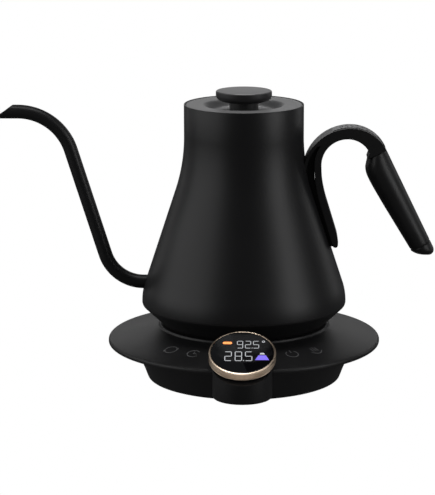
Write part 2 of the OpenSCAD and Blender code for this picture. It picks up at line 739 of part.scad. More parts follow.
module handle_arm() color("#19191a") difference() {
    union() {
        upright(arm_w) polygon(concat(
            arc(arch_left_c, arch_left_r, 180, 90, 12),
            arc(arch_right_c, arch_right_r, 84, grip_lean, 10),
            [[seam_x - seam_t * cos(grip_lean), seam_z - seam_t * sin(grip_lean)]],
            arc(hollow_right_c, hollow_right_r, 24, 90, 8),
            arc(hollow_left_c, hollow_left_r, 96, 180, 10),
            reversed(spine(0)),
            [[strap_x(strap_end_z + 6, 0), strap_end_z + 6],
             [strap_x(strap_end_z, 2.4), strap_end_z],
             [neck_r - 6, strap_end_z], [neck_r - 6, arch_left_c[1]]]));
        at_grip() translate([core_inset, -core_w / 2, -2]) cube([core_t, core_w, core_length + 2]);
    }
    upright(arm_w + 2) polygon(bracket_outline(0, 0));
    body_envelope(weld_gap);
    upright(pad_w + 2 * fit_gap)
        polygon(pad_outline(2, pad_t + fit_gap, pad_start_angle + 0.3, pad_end_angle - 0.3));
    handle_screw_holes(fit_gap);
    for (z = handle_screw_z) translate([strap_face_x(z) - 1.9, 0, z]) rotate([0, 90, 0])
        cylinder(r = screw_head_r + fit_gap, h = 10);
}

module handle_screws() color("#8d8f92") for (z = handle_screw_z)
    translate([strap_face_x(z) - 1.9 + weld_gap, 0, z]) rotate([0, -90, 0])
        screw(handle_screw_r, 5.2, screw_head_r, 1.5);

module thumb_pad() color("#2a2a2b") upright(pad_w)
    polygon(pad_outline(pad_proud, pad_t, pad_start_angle, pad_end_angle));

// A thin oval slice of the grip between x0 and x1, s along its length
module grip_slice(s, x0, x1, w)
    translate([(x0 + x1) / 2, 0, s]) scale([(x1 - x0) / 2, w / 2, 1])
        cylinder(r = 1, h = 0.2, $fn = 32);

module grip() color("#1f1f20") at_grip() difference() {
    hull() {
        grip_slice(weld_gap, 0, seam_t, arm_w);
        grip_slice(6, 0, grip_t - 1.3, grip_w - 0.6);
        grip_slice(13, 0, grip_t, grip_w);
        grip_slice(31, 0, grip_t - 1, grip_w - 0.5);
        grip_slice(grip_length - 0.2, 0, grip_end_t, grip_w - 4);
    }
    translate([core_inset - fit_gap, -core_w / 2 - fit_gap, -1])
        cube([core_t + 2 * fit_gap, core_w + 2 * fit_gap, grip_length + 2]);
}

module grip_cap() color("#171718") at_grip() {
    hull() {
        grip_slice(grip_length + weld_gap, 0, grip_end_t, grip_w - 4);
        grip_slice(grip_length + 4, 0, grip_end_t - 3, grip_w - 6);
        grip_slice(grip_length + 7.4, 0.6, grip_end_t - 7.4, grip_w - 11);
        grip_slice(grip_length + 9.2, 2.4, grip_end_t - 10, grip_w - 16);
    }
    translate([core_inset, -core_w / 2, grip_length - 8]) cube([core_t, core_w, 8.1]);
}

// ---------- lid ----------

// Height of the dish's surface at radius r, a smooth step
function dish_z(r) = let (t = (r - (dish_r - 6.5)) / 6.5)
    dish_floor_z + dish_depth * t * t * (3 - 2 * t);

dish_radii = [for (i = [0:10]) dish_r - 6.5 + 6.5 * i / 10];

module lid_shell() color("#1e1e20") difference() {
    rotate_extrude() polygon(concat(
        [[0, dish_floor_z - lid_wall], [0, dish_floor_z]],
        [for (r = dish_radii) [r, dish_z(r)]],
        [[lid_r - 0.6, lid_top_z], [lid_r, lid_top_z - 0.6],
         [lid_r, lid_flange_z], [lid_skirt_r, lid_flange_z],
         [lid_skirt_r, lid_bottom_z], [lid_skirt_r - lid_wall + 0.2, lid_bottom_z],
         [lid_skirt_r - lid_wall + 0.2, lid_top_z - lid_wall]],
        [for (r = reversed(dish_radii)) [r + 0.9, dish_z(r) - lid_wall]]));
    translate([0, 0, dish_floor_z - 5]) cylinder(r = knob_hole_r + 0.15, h = 10);
}

module lid_inner() color("#b9bcc0") difference() {
    translate([0, 0, lid_bottom_z]) cylinder(r = lid_skirt_r - lid_wall + 0.2 - fit_gap, h = 1);
    around([for (i = [0:7]) i * 45], 22)
        translate([0, 0, lid_bottom_z - 1]) cylinder(r = 2, h = 3);
}

module lid_seal() color("#3a3a3c")
    ring(lid_skirt_r + fit_gap, lid_r - 0.1, neck_ring_z + 0.1, lid_flange_z - weld_gap);

module knob() color("#3c3c3e") difference() {
    rotate_extrude() polygon(concat(
        [[0, dish_floor_z + weld_gap], [knob_stem_r, dish_floor_z + weld_gap],
         [knob_stem_r, knob_top_z - knob_t]],
        arc([knob_r - 4.2, knob_top_z - knob_t + 4.2], 4.2, 270, 360, 6),
        [[knob_r, knob_top_z - 0.7], [knob_r - 0.3, knob_top_z - 0.2], [knob_r - 0.9, knob_top_z],
         [0, knob_top_z]]));
    translate([0, 0, dish_floor_z - 1]) cylinder(r = knob_hole_r, h = 10);
}

module knob_screw() color("#8d8f92")
    translate([0, 0, dish_floor_z - lid_wall - weld_gap])
        screw(knob_hole_r - weld_gap, 9.5, 3.5, 2);

base_top();
base_pan();
base_feet();
base_screws();
base_connector();
contact_rings();
power_board();
power_parts();
touch_board();
touch_pads();
dial_housing();
dial_board();
dial_cable();
cord_gland();
dial_carrier();
display_board();
display_panel();
display_lens();
dial_retainer();
dial_ring();
dial_magnet();
connector_core();
kettle_contacts();
vessel();
neck_ring();
vessel_floor();
heat_spreader();
heating_element();
thermal_cutout();
temperature_probe();
probe_seal();
element_leads();
kettle_connector();
connector_cover();
kettle_skirt();
skirt_screws();
spout();
handle_bracket();
handle_arm();
handle_screws();
thumb_pad();
grip();
grip_cap();
lid_shell();
lid_inner();
lid_seal();
knob();
knob_screw();
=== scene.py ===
import math
import bpy
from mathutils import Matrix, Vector


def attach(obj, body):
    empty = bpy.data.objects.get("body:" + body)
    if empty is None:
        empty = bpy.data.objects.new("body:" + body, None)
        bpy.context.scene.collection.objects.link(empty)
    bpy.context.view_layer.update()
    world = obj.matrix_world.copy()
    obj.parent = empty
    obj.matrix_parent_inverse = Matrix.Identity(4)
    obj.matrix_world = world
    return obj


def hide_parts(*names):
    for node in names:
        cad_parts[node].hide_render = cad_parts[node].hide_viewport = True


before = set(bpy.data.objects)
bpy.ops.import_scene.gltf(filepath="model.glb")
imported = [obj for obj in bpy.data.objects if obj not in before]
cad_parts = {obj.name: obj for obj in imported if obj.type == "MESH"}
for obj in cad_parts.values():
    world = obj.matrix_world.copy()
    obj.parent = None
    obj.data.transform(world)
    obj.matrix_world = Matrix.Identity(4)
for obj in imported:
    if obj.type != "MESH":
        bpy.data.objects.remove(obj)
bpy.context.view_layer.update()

MM = 0.001

# ---------------------------- studio
# A pale sweep in a dark room, with tall soft lights at both sides and behind,
# so the black coating shows as bands of light. The camera stands in front of
# the dial, a little above the lid.

scene = bpy.context.scene
scene.view_settings.view_transform = "Standard"


def node(tree, kind, **values):
    """A node in a tree, with its own settings and its input sockets' values."""
    made = tree.nodes.new(kind)
    for name, value in values.items():
        if name in made.inputs:
            made.inputs[name].default_value = value
        else:
            setattr(made, name, value)
    return made


def glow_by_ray(tree, kind, shown, lit, out):
    """Bright where it is looked at, and dimmer where it only lights the object."""
    seen = node(tree, kind, Color=(1, 1, 1, 1), Strength=shown)
    dim = node(tree, kind, Color=(1, 1, 1, 1), Strength=lit)
    both = node(tree, "ShaderNodeMixShader")
    path = node(tree, "ShaderNodeLightPath")
    tree.links.new(path.outputs["Is Camera Ray"], both.inputs[0])
    tree.links.new(dim.outputs[0], both.inputs[1])
    tree.links.new(seen.outputs[0], both.inputs[2])
    tree.links.new(both.outputs[0], node(tree, out).inputs["Surface"])


world = bpy.data.worlds.new("studio")
world.use_nodes = True
world.node_tree.nodes.clear()
glow_by_ray(world.node_tree, "ShaderNodeBackground", shown=1.0, lit=0.012,
            out="ShaderNodeOutputWorld")
scene.world = world

FLOOR_SIZE, FLOOR_DROP = 12, 0.0002  # metres; the drop keeps the feet clear of the floor
bpy.ops.mesh.primitive_plane_add(size=FLOOR_SIZE, location=(0, 0, -FLOOR_DROP))
floor = bpy.context.object
floor.name = "floor"
sweep = bpy.data.materials.new("pale_sweep")
sweep.use_nodes = True
sweep.node_tree.nodes.clear()
glow_by_ray(sweep.node_tree, "ShaderNodeEmission", shown=1.0, lit=0.05,
            out="ShaderNodeOutputMaterial")
floor.data.materials.append(sweep)


KETTLE_MIDDLE = Vector((0, 0, 0.11))


def soft_light(name, azimuth, height, distance, wide, tall, power):
    """An area light aimed at the kettle's middle, in degrees, metres and watts.
    Azimuth 0 is in front, + to the right."""
    turn = math.radians(azimuth)
    place = Vector((math.sin(turn) * distance, -math.cos(turn) * distance, height))
    bpy.ops.object.light_add(type="AREA", location=place)
    lamp = bpy.context.object
    lamp.name = name
    lamp.data.shape = "RECTANGLE"
    lamp.data.size, lamp.data.size_y = wide, tall
    lamp.data.energy = power
    aim = KETTLE_MIDDLE - place
    lamp.rotation_euler = aim.to_track_quat("-Z", "Y").to_euler()
    lamp.visible_camera = False
    return lamp


# Name, azimuth, height, distance, width, tallness, power
for row in (("left_wall", -74, 0.45, 1.3, 1.9, 1.1, 6.5),
            ("right_band", 62, 0.45, 1.3, 0.65, 1.1, 4.4),
            ("left_rim", -132, 0.5, 1.4, 0.3, 1.2, 0.8),
            ("right_rim", 128, 0.5, 1.4, 0.4, 1.2, 1.2),
            ("backdrop", 180, 0.5, 1.4, 1.6, 0.5, 2.2),
            ("overhead", 0, 1.5, 0.12, 1.0, 0.5, 4)):
    soft_light(*row)

# A strip of light on the table before the base and a small one above it, both
# flagged off everything but the knurled ring and the underbody.
bpy.ops.object.light_add(type="AREA", location=(0, -0.15, 0.001), rotation=(math.pi, 0, 0))
strip = bpy.context.object
strip.name = "low_strip"
strip.data.shape = "RECTANGLE"
strip.data.size, strip.data.size_y = 0.30, 0.06
strip.data.energy = 0.055
strip.visible_camera = False
strip_lights = bpy.data.collections.new("lit_by_low_strip")
strip.light_linking.receiver_collection = strip_lights
ring_light = soft_light("ring_light", -25, 1.2, 0.4, 0.5, 0.3, 9)
ring_light.light_linking.receiver_collection = strip_lights

# A light high behind, flagged so that only the lid, its knob and the thumb pad take it.
lid_lights = bpy.data.collections.new("lit_by_lid_light")
lid_light = soft_light("lid_light", 180, 1.3, 0.5, 0.6, 0.6, 17)
lid_light.light_linking.receiver_collection = lid_lights

LOOK_DOWN, LOOK_LEFT = 12.48, 0.65  # degrees
bpy.ops.object.camera_add(location=(0.018, -1.6, 0.448),
                          rotation=(math.radians(90 - LOOK_DOWN), 0, math.radians(LOOK_LEFT)))
camera = bpy.context.object
camera.data.lens = 170.76
camera.data.sensor_width = 36
camera.data.shift_x = -0.0529
camera.data.clip_end = 30
scene.camera = camera

# ---------------------------- underbody of the base
# A deep black moulding that flares up to the brim. The cover screws to it from
# below, and it is cut for the dial's housing, the cord's gland and the screws.


def pick(*pieces):
    """Selects only these pieces, the first one active."""
    bpy.ops.object.select_all(action="DESELECT")
    for piece in pieces:
        piece.select_set(True)
    bpy.context.view_layer.objects.active = pieces[0]


def arc(centre, radius, start, end, steps):
    """Points on an arc, in mm, angles in degrees from +X towards +Z."""
    turns = [math.radians(start + (end - start) * i / steps) for i in range(steps + 1)]
    return [(centre[0] + radius * math.cos(t), centre[1] + radius * math.sin(t)) for t in turns]


def push(offset):
    """Extrudes what is selected by an offset in metres."""
    bpy.ops.mesh.extrude_region_move(TRANSFORM_OT_translate={"value": offset})


def leave_edit(merge=0.0):
    """Merges points closer than this, faces everything outwards and leaves edit mode."""
    bpy.ops.mesh.select_all(action="SELECT")
    if merge:
        bpy.ops.mesh.remove_doubles(threshold=merge)
    bpy.ops.mesh.normals_make_consistent(inside=False)
    bpy.ops.object.mode_set(mode="OBJECT")


def draw(name, points):
    """A line through (x, z) points in mm, pulled from one vertex. Stays in edit mode."""
    bpy.ops.mesh.primitive_plane_add(size=MM)
    piece = bpy.context.object
    piece.name = piece.data.name = name
    bpy.ops.object.mode_set(mode="EDIT")
    bpy.ops.mesh.merge(type="CENTER")
    at = Vector((points[0][0], 0, points[0][1])) * MM
    bpy.ops.transform.translate(value=at)
    for x, z in points[1:]:
        to = Vector((x, 0, z)) * MM
        push(to - at)
        at = to
    bpy.ops.mesh.select_all(action="SELECT")
    bpy.ops.mesh.remove_doubles(threshold=1e-6)
    return piece


def smooth(piece, angle=32):
    """Rounds the shading, but keeps edges sharper than the angle crisp."""
    pick(piece)
    bpy.ops.object.shade_smooth_by_angle(angle=math.radians(angle))
    return piece


def turned(name, section, steps=128, angle=32):
    """A turned piece: a (radius, z) section in mm, spun round the kettle's axis."""
    if section[0][0] > 0 or section[-1][0] > 0:
        section = section + section[:1]
    piece = draw(name, section)
    bpy.ops.mesh.spin(steps=steps, angle=math.tau, center=(0, 0, 0), axis=(0, 0, 1))
    leave_edit(merge=2e-6)
    return smooth(piece, angle)


def rod(radius, start, end, vertices=48):
    """A round bar between two points in mm, to cut holes with."""
    start, end = Vector(start) * MM, Vector(end) * MM
    bpy.ops.mesh.primitive_cylinder_add(
        vertices=vertices, radius=radius * MM, depth=(end - start).length,
        location=(start + end) / 2, rotation=(end - start).to_track_quat("Z", "Y").to_euler())
    return bpy.context.object


def block(low, high):
    """A box between two corners in mm, to cut slots with."""
    low, high = Vector(low) * MM, Vector(high) * MM
    bpy.ops.mesh.primitive_cube_add(size=1, location=(low + high) / 2, scale=high - low)
    return bpy.context.object


def cut(piece, *tools, how="DIFFERENCE"):
    """Cuts a piece with other solids, or joins them to it, and throws them away."""
    for tool in tools:
        pick(piece)
        change = piece.modifiers.new("cut", "BOOLEAN")
        change.operation, change.solver, change.object = how, "EXACT", tool
        bpy.ops.object.modifier_apply(modifier=change.name)
        bpy.data.objects.remove(tool)
    return piece


def place_in_mesh(piece):
    """Leaves the object at the origin, with its place in its mesh."""
    pick(piece)
    bpy.ops.object.transform_apply(location=True, rotation=True, scale=True)
    return piece


def math_node(tree, operation, *sides, clamp=False):
    """A Math node. Each side is a number or another node's output."""
    made = node(tree, "ShaderNodeMath", operation=operation, use_clamp=clamp)
    for socket, side in zip(made.inputs, sides):
        if isinstance(side, (int, float)):
            socket.default_value = side
        else:
            tree.links.new(side, socket)
    return made.outputs[0]


def shader_group(name, inputs, outputs):
    """An empty shader group, with its inputs' values, ready to be wired."""
    group = bpy.data.node_groups.new(name, "ShaderNodeTree")
    for label, value in inputs:
        made = group.interface.new_socket(label, in_out="INPUT", socket_type="NodeSocketFloat")
        made.default_value = value
    for label in outputs:
        group.interface.new_socket(label, in_out="OUTPUT", socket_type="NodeSocketFloat")
    return (group, group.nodes.new("NodeGroupInput").outputs,
            group.nodes.new("NodeGroupOutput").inputs)


# Grain of a moulding or a coating: fine relief, and slow cloudy variation.
grain, given, put = shader_group(
    "surface_grain", [("Size", 0.0004), ("Stretch Z", 1.0), ("Cloud Size", 0.02)],
    ["Height", "Cloud"])
stretch = node(grain, "ShaderNodeCombineXYZ", X=1.0, Y=1.0)
grain.links.new(given["Stretch Z"], stretch.inputs["Z"])
pulled = node(grain, "ShaderNodeVectorMath", operation="MULTIPLY")
grain.links.new(node(grain, "ShaderNodeTexCoord").outputs["Object"], pulled.inputs[0])
grain.links.new(stretch.outputs[0], pulled.inputs[1])
fine = node(grain, "ShaderNodeTexNoise", Detail=2.0, Roughness=0.55)
pits = node(grain, "ShaderNodeTexVoronoi")
slow = node(grain, "ShaderNodeTexNoise", Detail=3.0)
for texture, share, size in ((fine, 1.0, "Size"), (pits, 0.6, "Size"),
                             (slow, 1.0, "Cloud Size")):
    grain.links.new(pulled.outputs[0], texture.inputs["Vector"])
    grain.links.new(math_node(grain, "DIVIDE", share, given[size]), texture.inputs["Scale"])
grain.links.new(math_node(grain, "MULTIPLY_ADD", pits.outputs["Distance"], 0.4,
                          fine.outputs[0]), put["Height"])
grain.links.new(slow.outputs[0], put["Cloud"])

# Lighter edges: a mask that is 1 along outward edges, broken up by noise. It stands partly for
# wear there and partly for a painted highlight.
edge_wear_and_highlight, given, put = shader_group("worn_and_highlit_edges", [("Start", 0.52), ("End", 0.62)], ["Mask"])
ramp = node(edge_wear_and_highlight, "ShaderNodeMapRange")
edge_wear_and_highlight.links.new(node(edge_wear_and_highlight, "ShaderNodeNewGeometry").outputs["Pointiness"], ramp.inputs["Value"])
edge_wear_and_highlight.links.new(given["Start"], ramp.inputs["From Min"])
edge_wear_and_highlight.links.new(given["End"], ramp.inputs["From Max"])
patches = node(edge_wear_and_highlight, "ShaderNodeTexNoise", Scale=220.0, Detail=4.0)
edge_wear_and_highlight.links.new(node(edge_wear_and_highlight, "ShaderNodeTexCoord").outputs["Object"], patches.inputs["Vector"])
edge_wear_and_highlight.links.new(math_node(edge_wear_and_highlight, "MULTIPLY", ramp.outputs[0],
                         math_node(edge_wear_and_highlight, "MULTIPLY", patches.outputs[0], 1.4, clamp=True)),
               put["Mask"])


def finish_coat(name, dark, light, rough=0.45, spread=0.08, size=0.0004, relief=0.00002,
                rub_and_highlight=0.15, metallic=0.0, stretch_z=1.0, cloud=0.02, coat=0.0):
    """A coated, moulded or metal surface: colour and roughness vary slowly between two
    ends, with grain in relief and lighter edges, partly wear and partly painted highlight."""
    made = bpy.data.materials.new(name)
    made.use_nodes = True
    tree = made.node_tree
    shader = tree.nodes["Principled BSDF"]
    shader.inputs["Metallic"].default_value = metallic
    shader.inputs["Coat Weight"].default_value = coat
    texture = node(tree, "ShaderNodeGroup", node_tree=grain)
    texture.inputs["Size"].default_value = size
    texture.inputs["Stretch Z"].default_value = stretch_z
    texture.inputs["Cloud Size"].default_value = cloud
    edges = node(tree, "ShaderNodeGroup", node_tree=edge_wear_and_highlight)
    # The edge mask lightens the colour: partly wear, partly a painted highlight on edges.
    share = math_node(tree, "MULTIPLY_ADD", edges.outputs["Mask"], rub_and_highlight,
                      math_node(tree, "MULTIPLY", texture.outputs["Cloud"], 0.6), clamp=True)
    colour = node(tree, "ShaderNodeMix", data_type="RGBA")
    colour.inputs[6].default_value = (*dark, 1)
    colour.inputs[7].default_value = (*light, 1)
    tree.links.new(share, colour.inputs[0])
    tree.links.new(colour.outputs[2], shader.inputs["Base Color"])
    tree.links.new(math_node(tree, "MULTIPLY_ADD", texture.outputs["Cloud"], spread,
                             rough - spread / 2), shader.inputs["Roughness"])
    bump = node(tree, "ShaderNodeBump", Strength=1.0, Distance=relief)
    tree.links.new(texture.outputs["Height"], bump.inputs["Height"])
    tree.links.new(bump.outputs[0], shader.inputs["Normal"])
    return made


def put_on(piece, body, material, slot, *nodes):
    """Gives a piece its finish, the body it rides on and the CAD nodes it stands for."""
    if not piece.data.materials:
        piece.data.materials.append(material)
    piece.data.materials[0] = material
    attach(piece, body)
    if nodes:
        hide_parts(*nodes)


base_black = finish_coat("base_black", (0.010, 0.010, 0.011), (0.028, 0.028, 0.029),
                         rough=0.46, size=0.00035, relief=0.00003)


PAN_LOW, PAN_TALL = 2.6, 24.8      # height of the underbody's flat, and its rise to the brim
PAN_LOW_R, PAN_FLARE = 67.8, 11.2  # its radius at the flat, and what it gains on the way up
BRIM_LOW = 27.4                    # underside of the brim
BASE_WALL = 2.4
DIAL_Y = -95                       # the dial's column stands in front of the middle
HOLE_TOP = 60                      # above everything that is cut from below


def pan_radius(z):
    """The underbody's outside radius at height z."""
    return PAN_LOW_R + PAN_FLARE * ((z - PAN_LOW) / PAN_TALL) ** 1.3


def around(radius, *turns):
    """Places on a circle about the kettle's axis, in mm, at these angles in degrees."""
    return [(radius * math.cos(math.radians(turn)), radius * math.sin(math.radians(turn)))
            for turn in turns]


def screw_hole(piece, x, y, low, seat, high):
    """A hole for a screw: its head goes in as far as the seat, its shank right through."""
    cut(piece, rod(1.6, (x, y, low), (x, y, high), 24), rod(2.9, (x, y, low), (x, y, seat), 32))


side = [PAN_LOW + PAN_TALL * i / 20 for i in range(3, 21)]
underbody = turned("underbody", [(0, PAN_LOW), (38, PAN_LOW), (38.6, 3.2), (40.4, 3.2),
                                 (41, PAN_LOW)]
                   + arc((66.2, 4.2), 1.6, 270, 330, 4)
                   + [(pan_radius(z), z) for z in side]
                   + [(92.1, BRIM_LOW), (92.4, 27.7), (92.4, 29.2), (76.6, 29.2)]
                   + [(pan_radius(z) - BASE_WALL, z) for z in reversed(side)]
                   + [(65.4, 5.0), (0, 5.0)], steps=160)
cut(underbody, rod(20.0, (0, DIAL_Y, 12.7), (0, DIAL_Y, HOLE_TOP), 96),
    block((-11.1, DIAL_Y, 14.9), (11.1, -55, 25.1)), rod(5.1, (0, 60, 15), (0, 80, 15)))
SCREW_SEAT = 4.0
screw_places = around(60, 50, 130, 230, 310)
for x, y in screw_places:
    screw_hole(underbody, x, y, 2, SCREW_SEAT, 6)
put_on(smooth(underbody), "base", base_black, "base_black", "base_pan")
strip_lights.objects.link(underbody)

# ---------------------------- feet
# Four rubber pads, each with a rounded edge and a ring pressed into its tread,
# stuck under the base.

rubber = finish_coat("foot_rubber", (0.010, 0.010, 0.010), (0.022, 0.022, 0.022),
                     rough=0.7, size=0.0003, relief=0.00004, rub_and_highlight=0.05)
for number, (x, y) in enumerate(around(54, 40, 140, 220, 320), 1):
    foot = turned("foot_%d" % number,
                  [(0, PAN_LOW), (6, PAN_LOW), (6, 0.7), (5.8, 0.2), (5.4, 0), (4.2, 0),
                   (4.0, 0.3), (3.4, 0.3), (3.2, 0), (0, 0)], steps=40)
    foot.location = (x * MM, y * MM, 0)
    put_on(place_in_mesh(foot), "base", rubber, "rubber", "base_feet")

# ---------------------------- screws in the base
# Zinc-plated pan-head screws with a cross recess, driven up into the cover's posts.


HEAD_R, SHANK_R = 2.8, 1.5
RECESS_R, RECESS_HALF, RECESS_DEEP = 1.5, 0.28, 0.8


def drive_screw(name, place, length, body, cad_node, head=1.3, turn=0.0):
    """A screw with its head's seat at a place, in mm. It points up, or turned about Y."""
    screw = turned(name, [(0, -head), (HEAD_R - 1.1, -head), (HEAD_R - 0.4, -head + 0.25),
                          (HEAD_R, -head + 0.7), (HEAD_R, 0), (SHANK_R, 0),
                          (SHANK_R, length - 1), (SHANK_R - 0.8, length), (0, length)], steps=32)
    for x, y in ((RECESS_R, RECESS_HALF), (RECESS_HALF, RECESS_R)):
        cut(screw, block((-x, -y, -head - 1), (x, y, -head + RECESS_DEEP)))
    smooth(screw)
    screw.rotation_euler = (0, turn, 0)
    screw.location = tuple(measure * MM for measure in place)
    put_on(place_in_mesh(screw), body, screw_steel, "screw_steel", cad_node)


screw_steel = finish_coat("screw_steel", (0.42, 0.42, 0.43), (0.66, 0.66, 0.67), rough=0.32,
                          spread=0.15, size=0.0002, relief=0.000006, metallic=1.0, cloud=0.002)
for number, (x, y) in enumerate(screw_places, 1):
    drive_screw("base_screw_%d" % number, (x, y, SCREW_SEAT), 12, "base", "base_screws")

# ---------------------------- base cover
# The brim and the seat in one moulding: a low ring keeps the kettle centred, a
# shallow cone sheds water, and the brim's lip is rounded over.

CONE_IN_R, CONE_IN_Z = 61.1, 39.3  # where the cone starts, beside the seat's ring
CONE_FALL = 8.3 / 32.5             # its drop for each mm outwards
HUB_HOLE_R, SEAT_Z = 18.1, 38.6


def cone_height(radius):
    """Height of the cone's face at a radius, in mm."""
    return CONE_IN_Z - (radius - CONE_IN_R) * CONE_FALL


cover = turned("base_cover",
               [(HUB_HOLE_R, SEAT_Z), (54.2, SEAT_Z)] + arc((54.2, 39.2), 0.6, 270, 340, 3)
               + arc((55.8, 40.4), 0.6, 150, 90, 4) + arc((58.5, 40.3), 0.7, 90, 10, 5)
               + [(59.5, 39.9)] + arc((60.4, 40.3), 0.9, 200, 262, 4)
               + [(r, cone_height(r)) for r in (63, 68, 74, 81, 88)]
               + arc((93.1, 29.1), 1.9, 74, 0, 8) + arc((94.0, 28.4), 1.0, 0, -90, 6)
               + [(92.5, BRIM_LOW), (92.5, 29.2), (CONE_IN_R, 36.9), (55.1, 36.2),
                  (HUB_HOLE_R, 36.2)],
               steps=192)
cut(cover, rod(20.2, (0, DIAL_Y, 0), (0, DIAL_Y, HOLE_TOP), 96))
for x, y in screw_places:
    cut(cover, rod(4, (x, y, 5.1), (x, y, 37.2), 32), how="UNION")
    cut(cover, rod(1.55, (x, y, 2), (x, y, 18.6), 24))
put_on(smooth(cover), "base", base_black, "base_black", "base_top")

# ---------------------------- touch marks
# Four dim marks printed on the cone over the touch pads: start again, timer,
# power and keep warm. Each is a hair proud of the cover.

mark_grey = finish_coat("mark_grey", (0.20, 0.20, 0.205), (0.30, 0.30, 0.305), rough=0.5,
                        size=0.0003, relief=0.00001, rub_and_highlight=0.0)


PRINT_T, PRINT_GAP = 0.05, 0.01  # thickness of a mark, and its gap over the face
MARK_R = 76                      # the marks' distance from the kettle's axis


def flat_ring(name, radius, width, start, end):
    """Part of a flat ring about the origin, sizes in mm, angles in degrees."""
    piece = draw(name, [(radius - width / 2, 0), (radius + width / 2, 0)])
    bpy.ops.transform.rotate(value=-math.radians(start), orient_axis="Z",
                             center_override=(0, 0, 0))
    bpy.ops.mesh.spin(steps=28, angle=math.radians(start - end), center=(0, 0, 0),
                      axis=(0, 0, 1))
    return thicken(piece)


def flat_shape(name, points):
    """A flat shape through (x, y) points in mm."""
    piece = draw(name, points + points[:1])
    bpy.ops.mesh.edge_face_add()
    bpy.ops.transform.rotate(value=math.radians(90), orient_axis="X",
                             center_override=(0, 0, 0))
    return thicken(piece)


def thicken(piece):
    """Turns a flat shape in edit mode into a thin solid, from Z = 0 up."""
    bpy.ops.mesh.select_all(action="SELECT")
    bpy.ops.mesh.remove_doubles(threshold=1e-6)
    push((0, 0, PRINT_T * MM))
    leave_edit()
    return piece


def bar(name, x0, y0, x1, y1, width):
    """A thin flat bar from one point to another, in mm."""
    along = Vector((x1 - x0, y1 - y0)).normalized() * width / 2
    across = Vector((-along.y, along.x))
    point = along * 0.9
    start, end = Vector((x0, y0)), Vector((x1, y1))
    corners = [start - point, start + across, end + across, end + point, end - across,
               start - across]
    return flat_shape(name, [tuple(c) for c in corners])


def join(name, pieces):
    """Makes several pieces one."""
    pick(*pieces)
    bpy.ops.object.join()
    pieces[0].name = pieces[0].data.name = name
    return pieces[0]


marks = {
    "mark_again": (-130, lambda: [flat_ring("m", 4.3, 0.55, 40, 200), flat_ring(
        "m", 4.3, 0.55, 220, 380), flat_shape("m", [(2.4, 2.2), (4.6, 2.0), (3.6, 4.2)]),
        flat_shape("m", [(-2.4, -2.2), (-4.6, -2.0), (-3.6, -4.2)])]),
    "mark_timer": (-116, lambda: [flat_ring("m", 4.3, 0.55, 40, 330), bar(
        "m", 0, 0, 0, 2.6, 0.5), bar("m", 0, 0, 2.2, 0, 0.5)]),
    "mark_power": (-64, lambda: [flat_ring("m", 4.2, 0.55, 125, 415), bar(
        "m", 0, 1.6, 0, 5.0, 0.55)]),
    "mark_warm": (-50, lambda: [flat_ring("m", 4.6, 0.5, 200, 340), bar(
        "m", -2, -1.2, -2, 3.2, 0.5), bar("m", 0, -1.6, 0, 4.0, 0.5), bar(
        "m", 2, -1.2, 2, 3.2, 0.5)]),
}
for name, (turn, shapes) in marks.items():
    mark = join(name, shapes())
    mark.rotation_euler = (0, 0, math.pi / 2)
    place_in_mesh(mark)
    mark.rotation_euler = (0, math.atan(CONE_FALL), 0)
    place_in_mesh(mark)
    mark.location = (MARK_R * MM, 0, (cone_height(MARK_R) + PRINT_GAP) * MM)
    place_in_mesh(mark)
    mark.rotation_euler = (0, 0, math.radians(turn))
    put_on(place_in_mesh(mark), "base", mark_grey, "base_black")

# ---------------------------- dial housing
# The upright column under the dial: a thin-walled moulding with a closed top
# that guides the dial's stem, joined to the underbody by a hollow neck.

dial_centre = Vector((0, DIAL_Y, 43.5))  # middle of the glass's face
dial_tilt = math.radians(25)
dial_axis = Vector((0, -math.sin(dial_tilt), math.cos(dial_tilt)))


def slice_above(piece, drop):
    """Cuts a piece off square to the dial's axis, that far below the glass, in mm."""
    pick(piece)
    bpy.ops.object.mode_set(mode="EDIT")
    bpy.ops.mesh.select_all(action="SELECT")
    bpy.ops.mesh.bisect(plane_co=(dial_centre - dial_axis * drop) * MM, plane_no=dial_axis,
                        use_fill=True, clear_outer=True)
    bpy.ops.object.mode_set(mode="OBJECT")
    return piece


COLUMN_DROP, COLUMN_TOP_T = 7.55, 2.0  # its top's place below the glass, and thickness
BLANK_TOP = 70                         # it is turned taller than needed, then sliced
housing = turned("dial_column", [(0, 12.8)] + arc((18.5, 14.2), 1.4, 270, 360, 6)
                 + [(19.9, BLANK_TOP), (0, BLANK_TOP)], steps=96)
housing.location = (0, DIAL_Y * MM, 0)
slice_above(place_in_mesh(housing), COLUMN_DROP)
cut(housing, slice_above(rod(17.7, (0, DIAL_Y, 14.8), (0, DIAL_Y, BLANK_TOP), 96),
                         COLUMN_DROP + COLUMN_TOP_T),
    rod(11.1, dial_centre - dial_axis * 14, dial_centre, 64))
cut(housing, block((-11, -77.7, 15), (11, -65, 25)), how="UNION")
cut(housing, block((-9, -81.1, 17), (9, -60.4, 23)))
put_on(smooth(housing), "base", base_black, "base_black", "dial_housing")

# ---------------------------- inside the base
# Circuit boards, their parts, the touch pads, the flat cable and the lower
# connector with its brass rings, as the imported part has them.

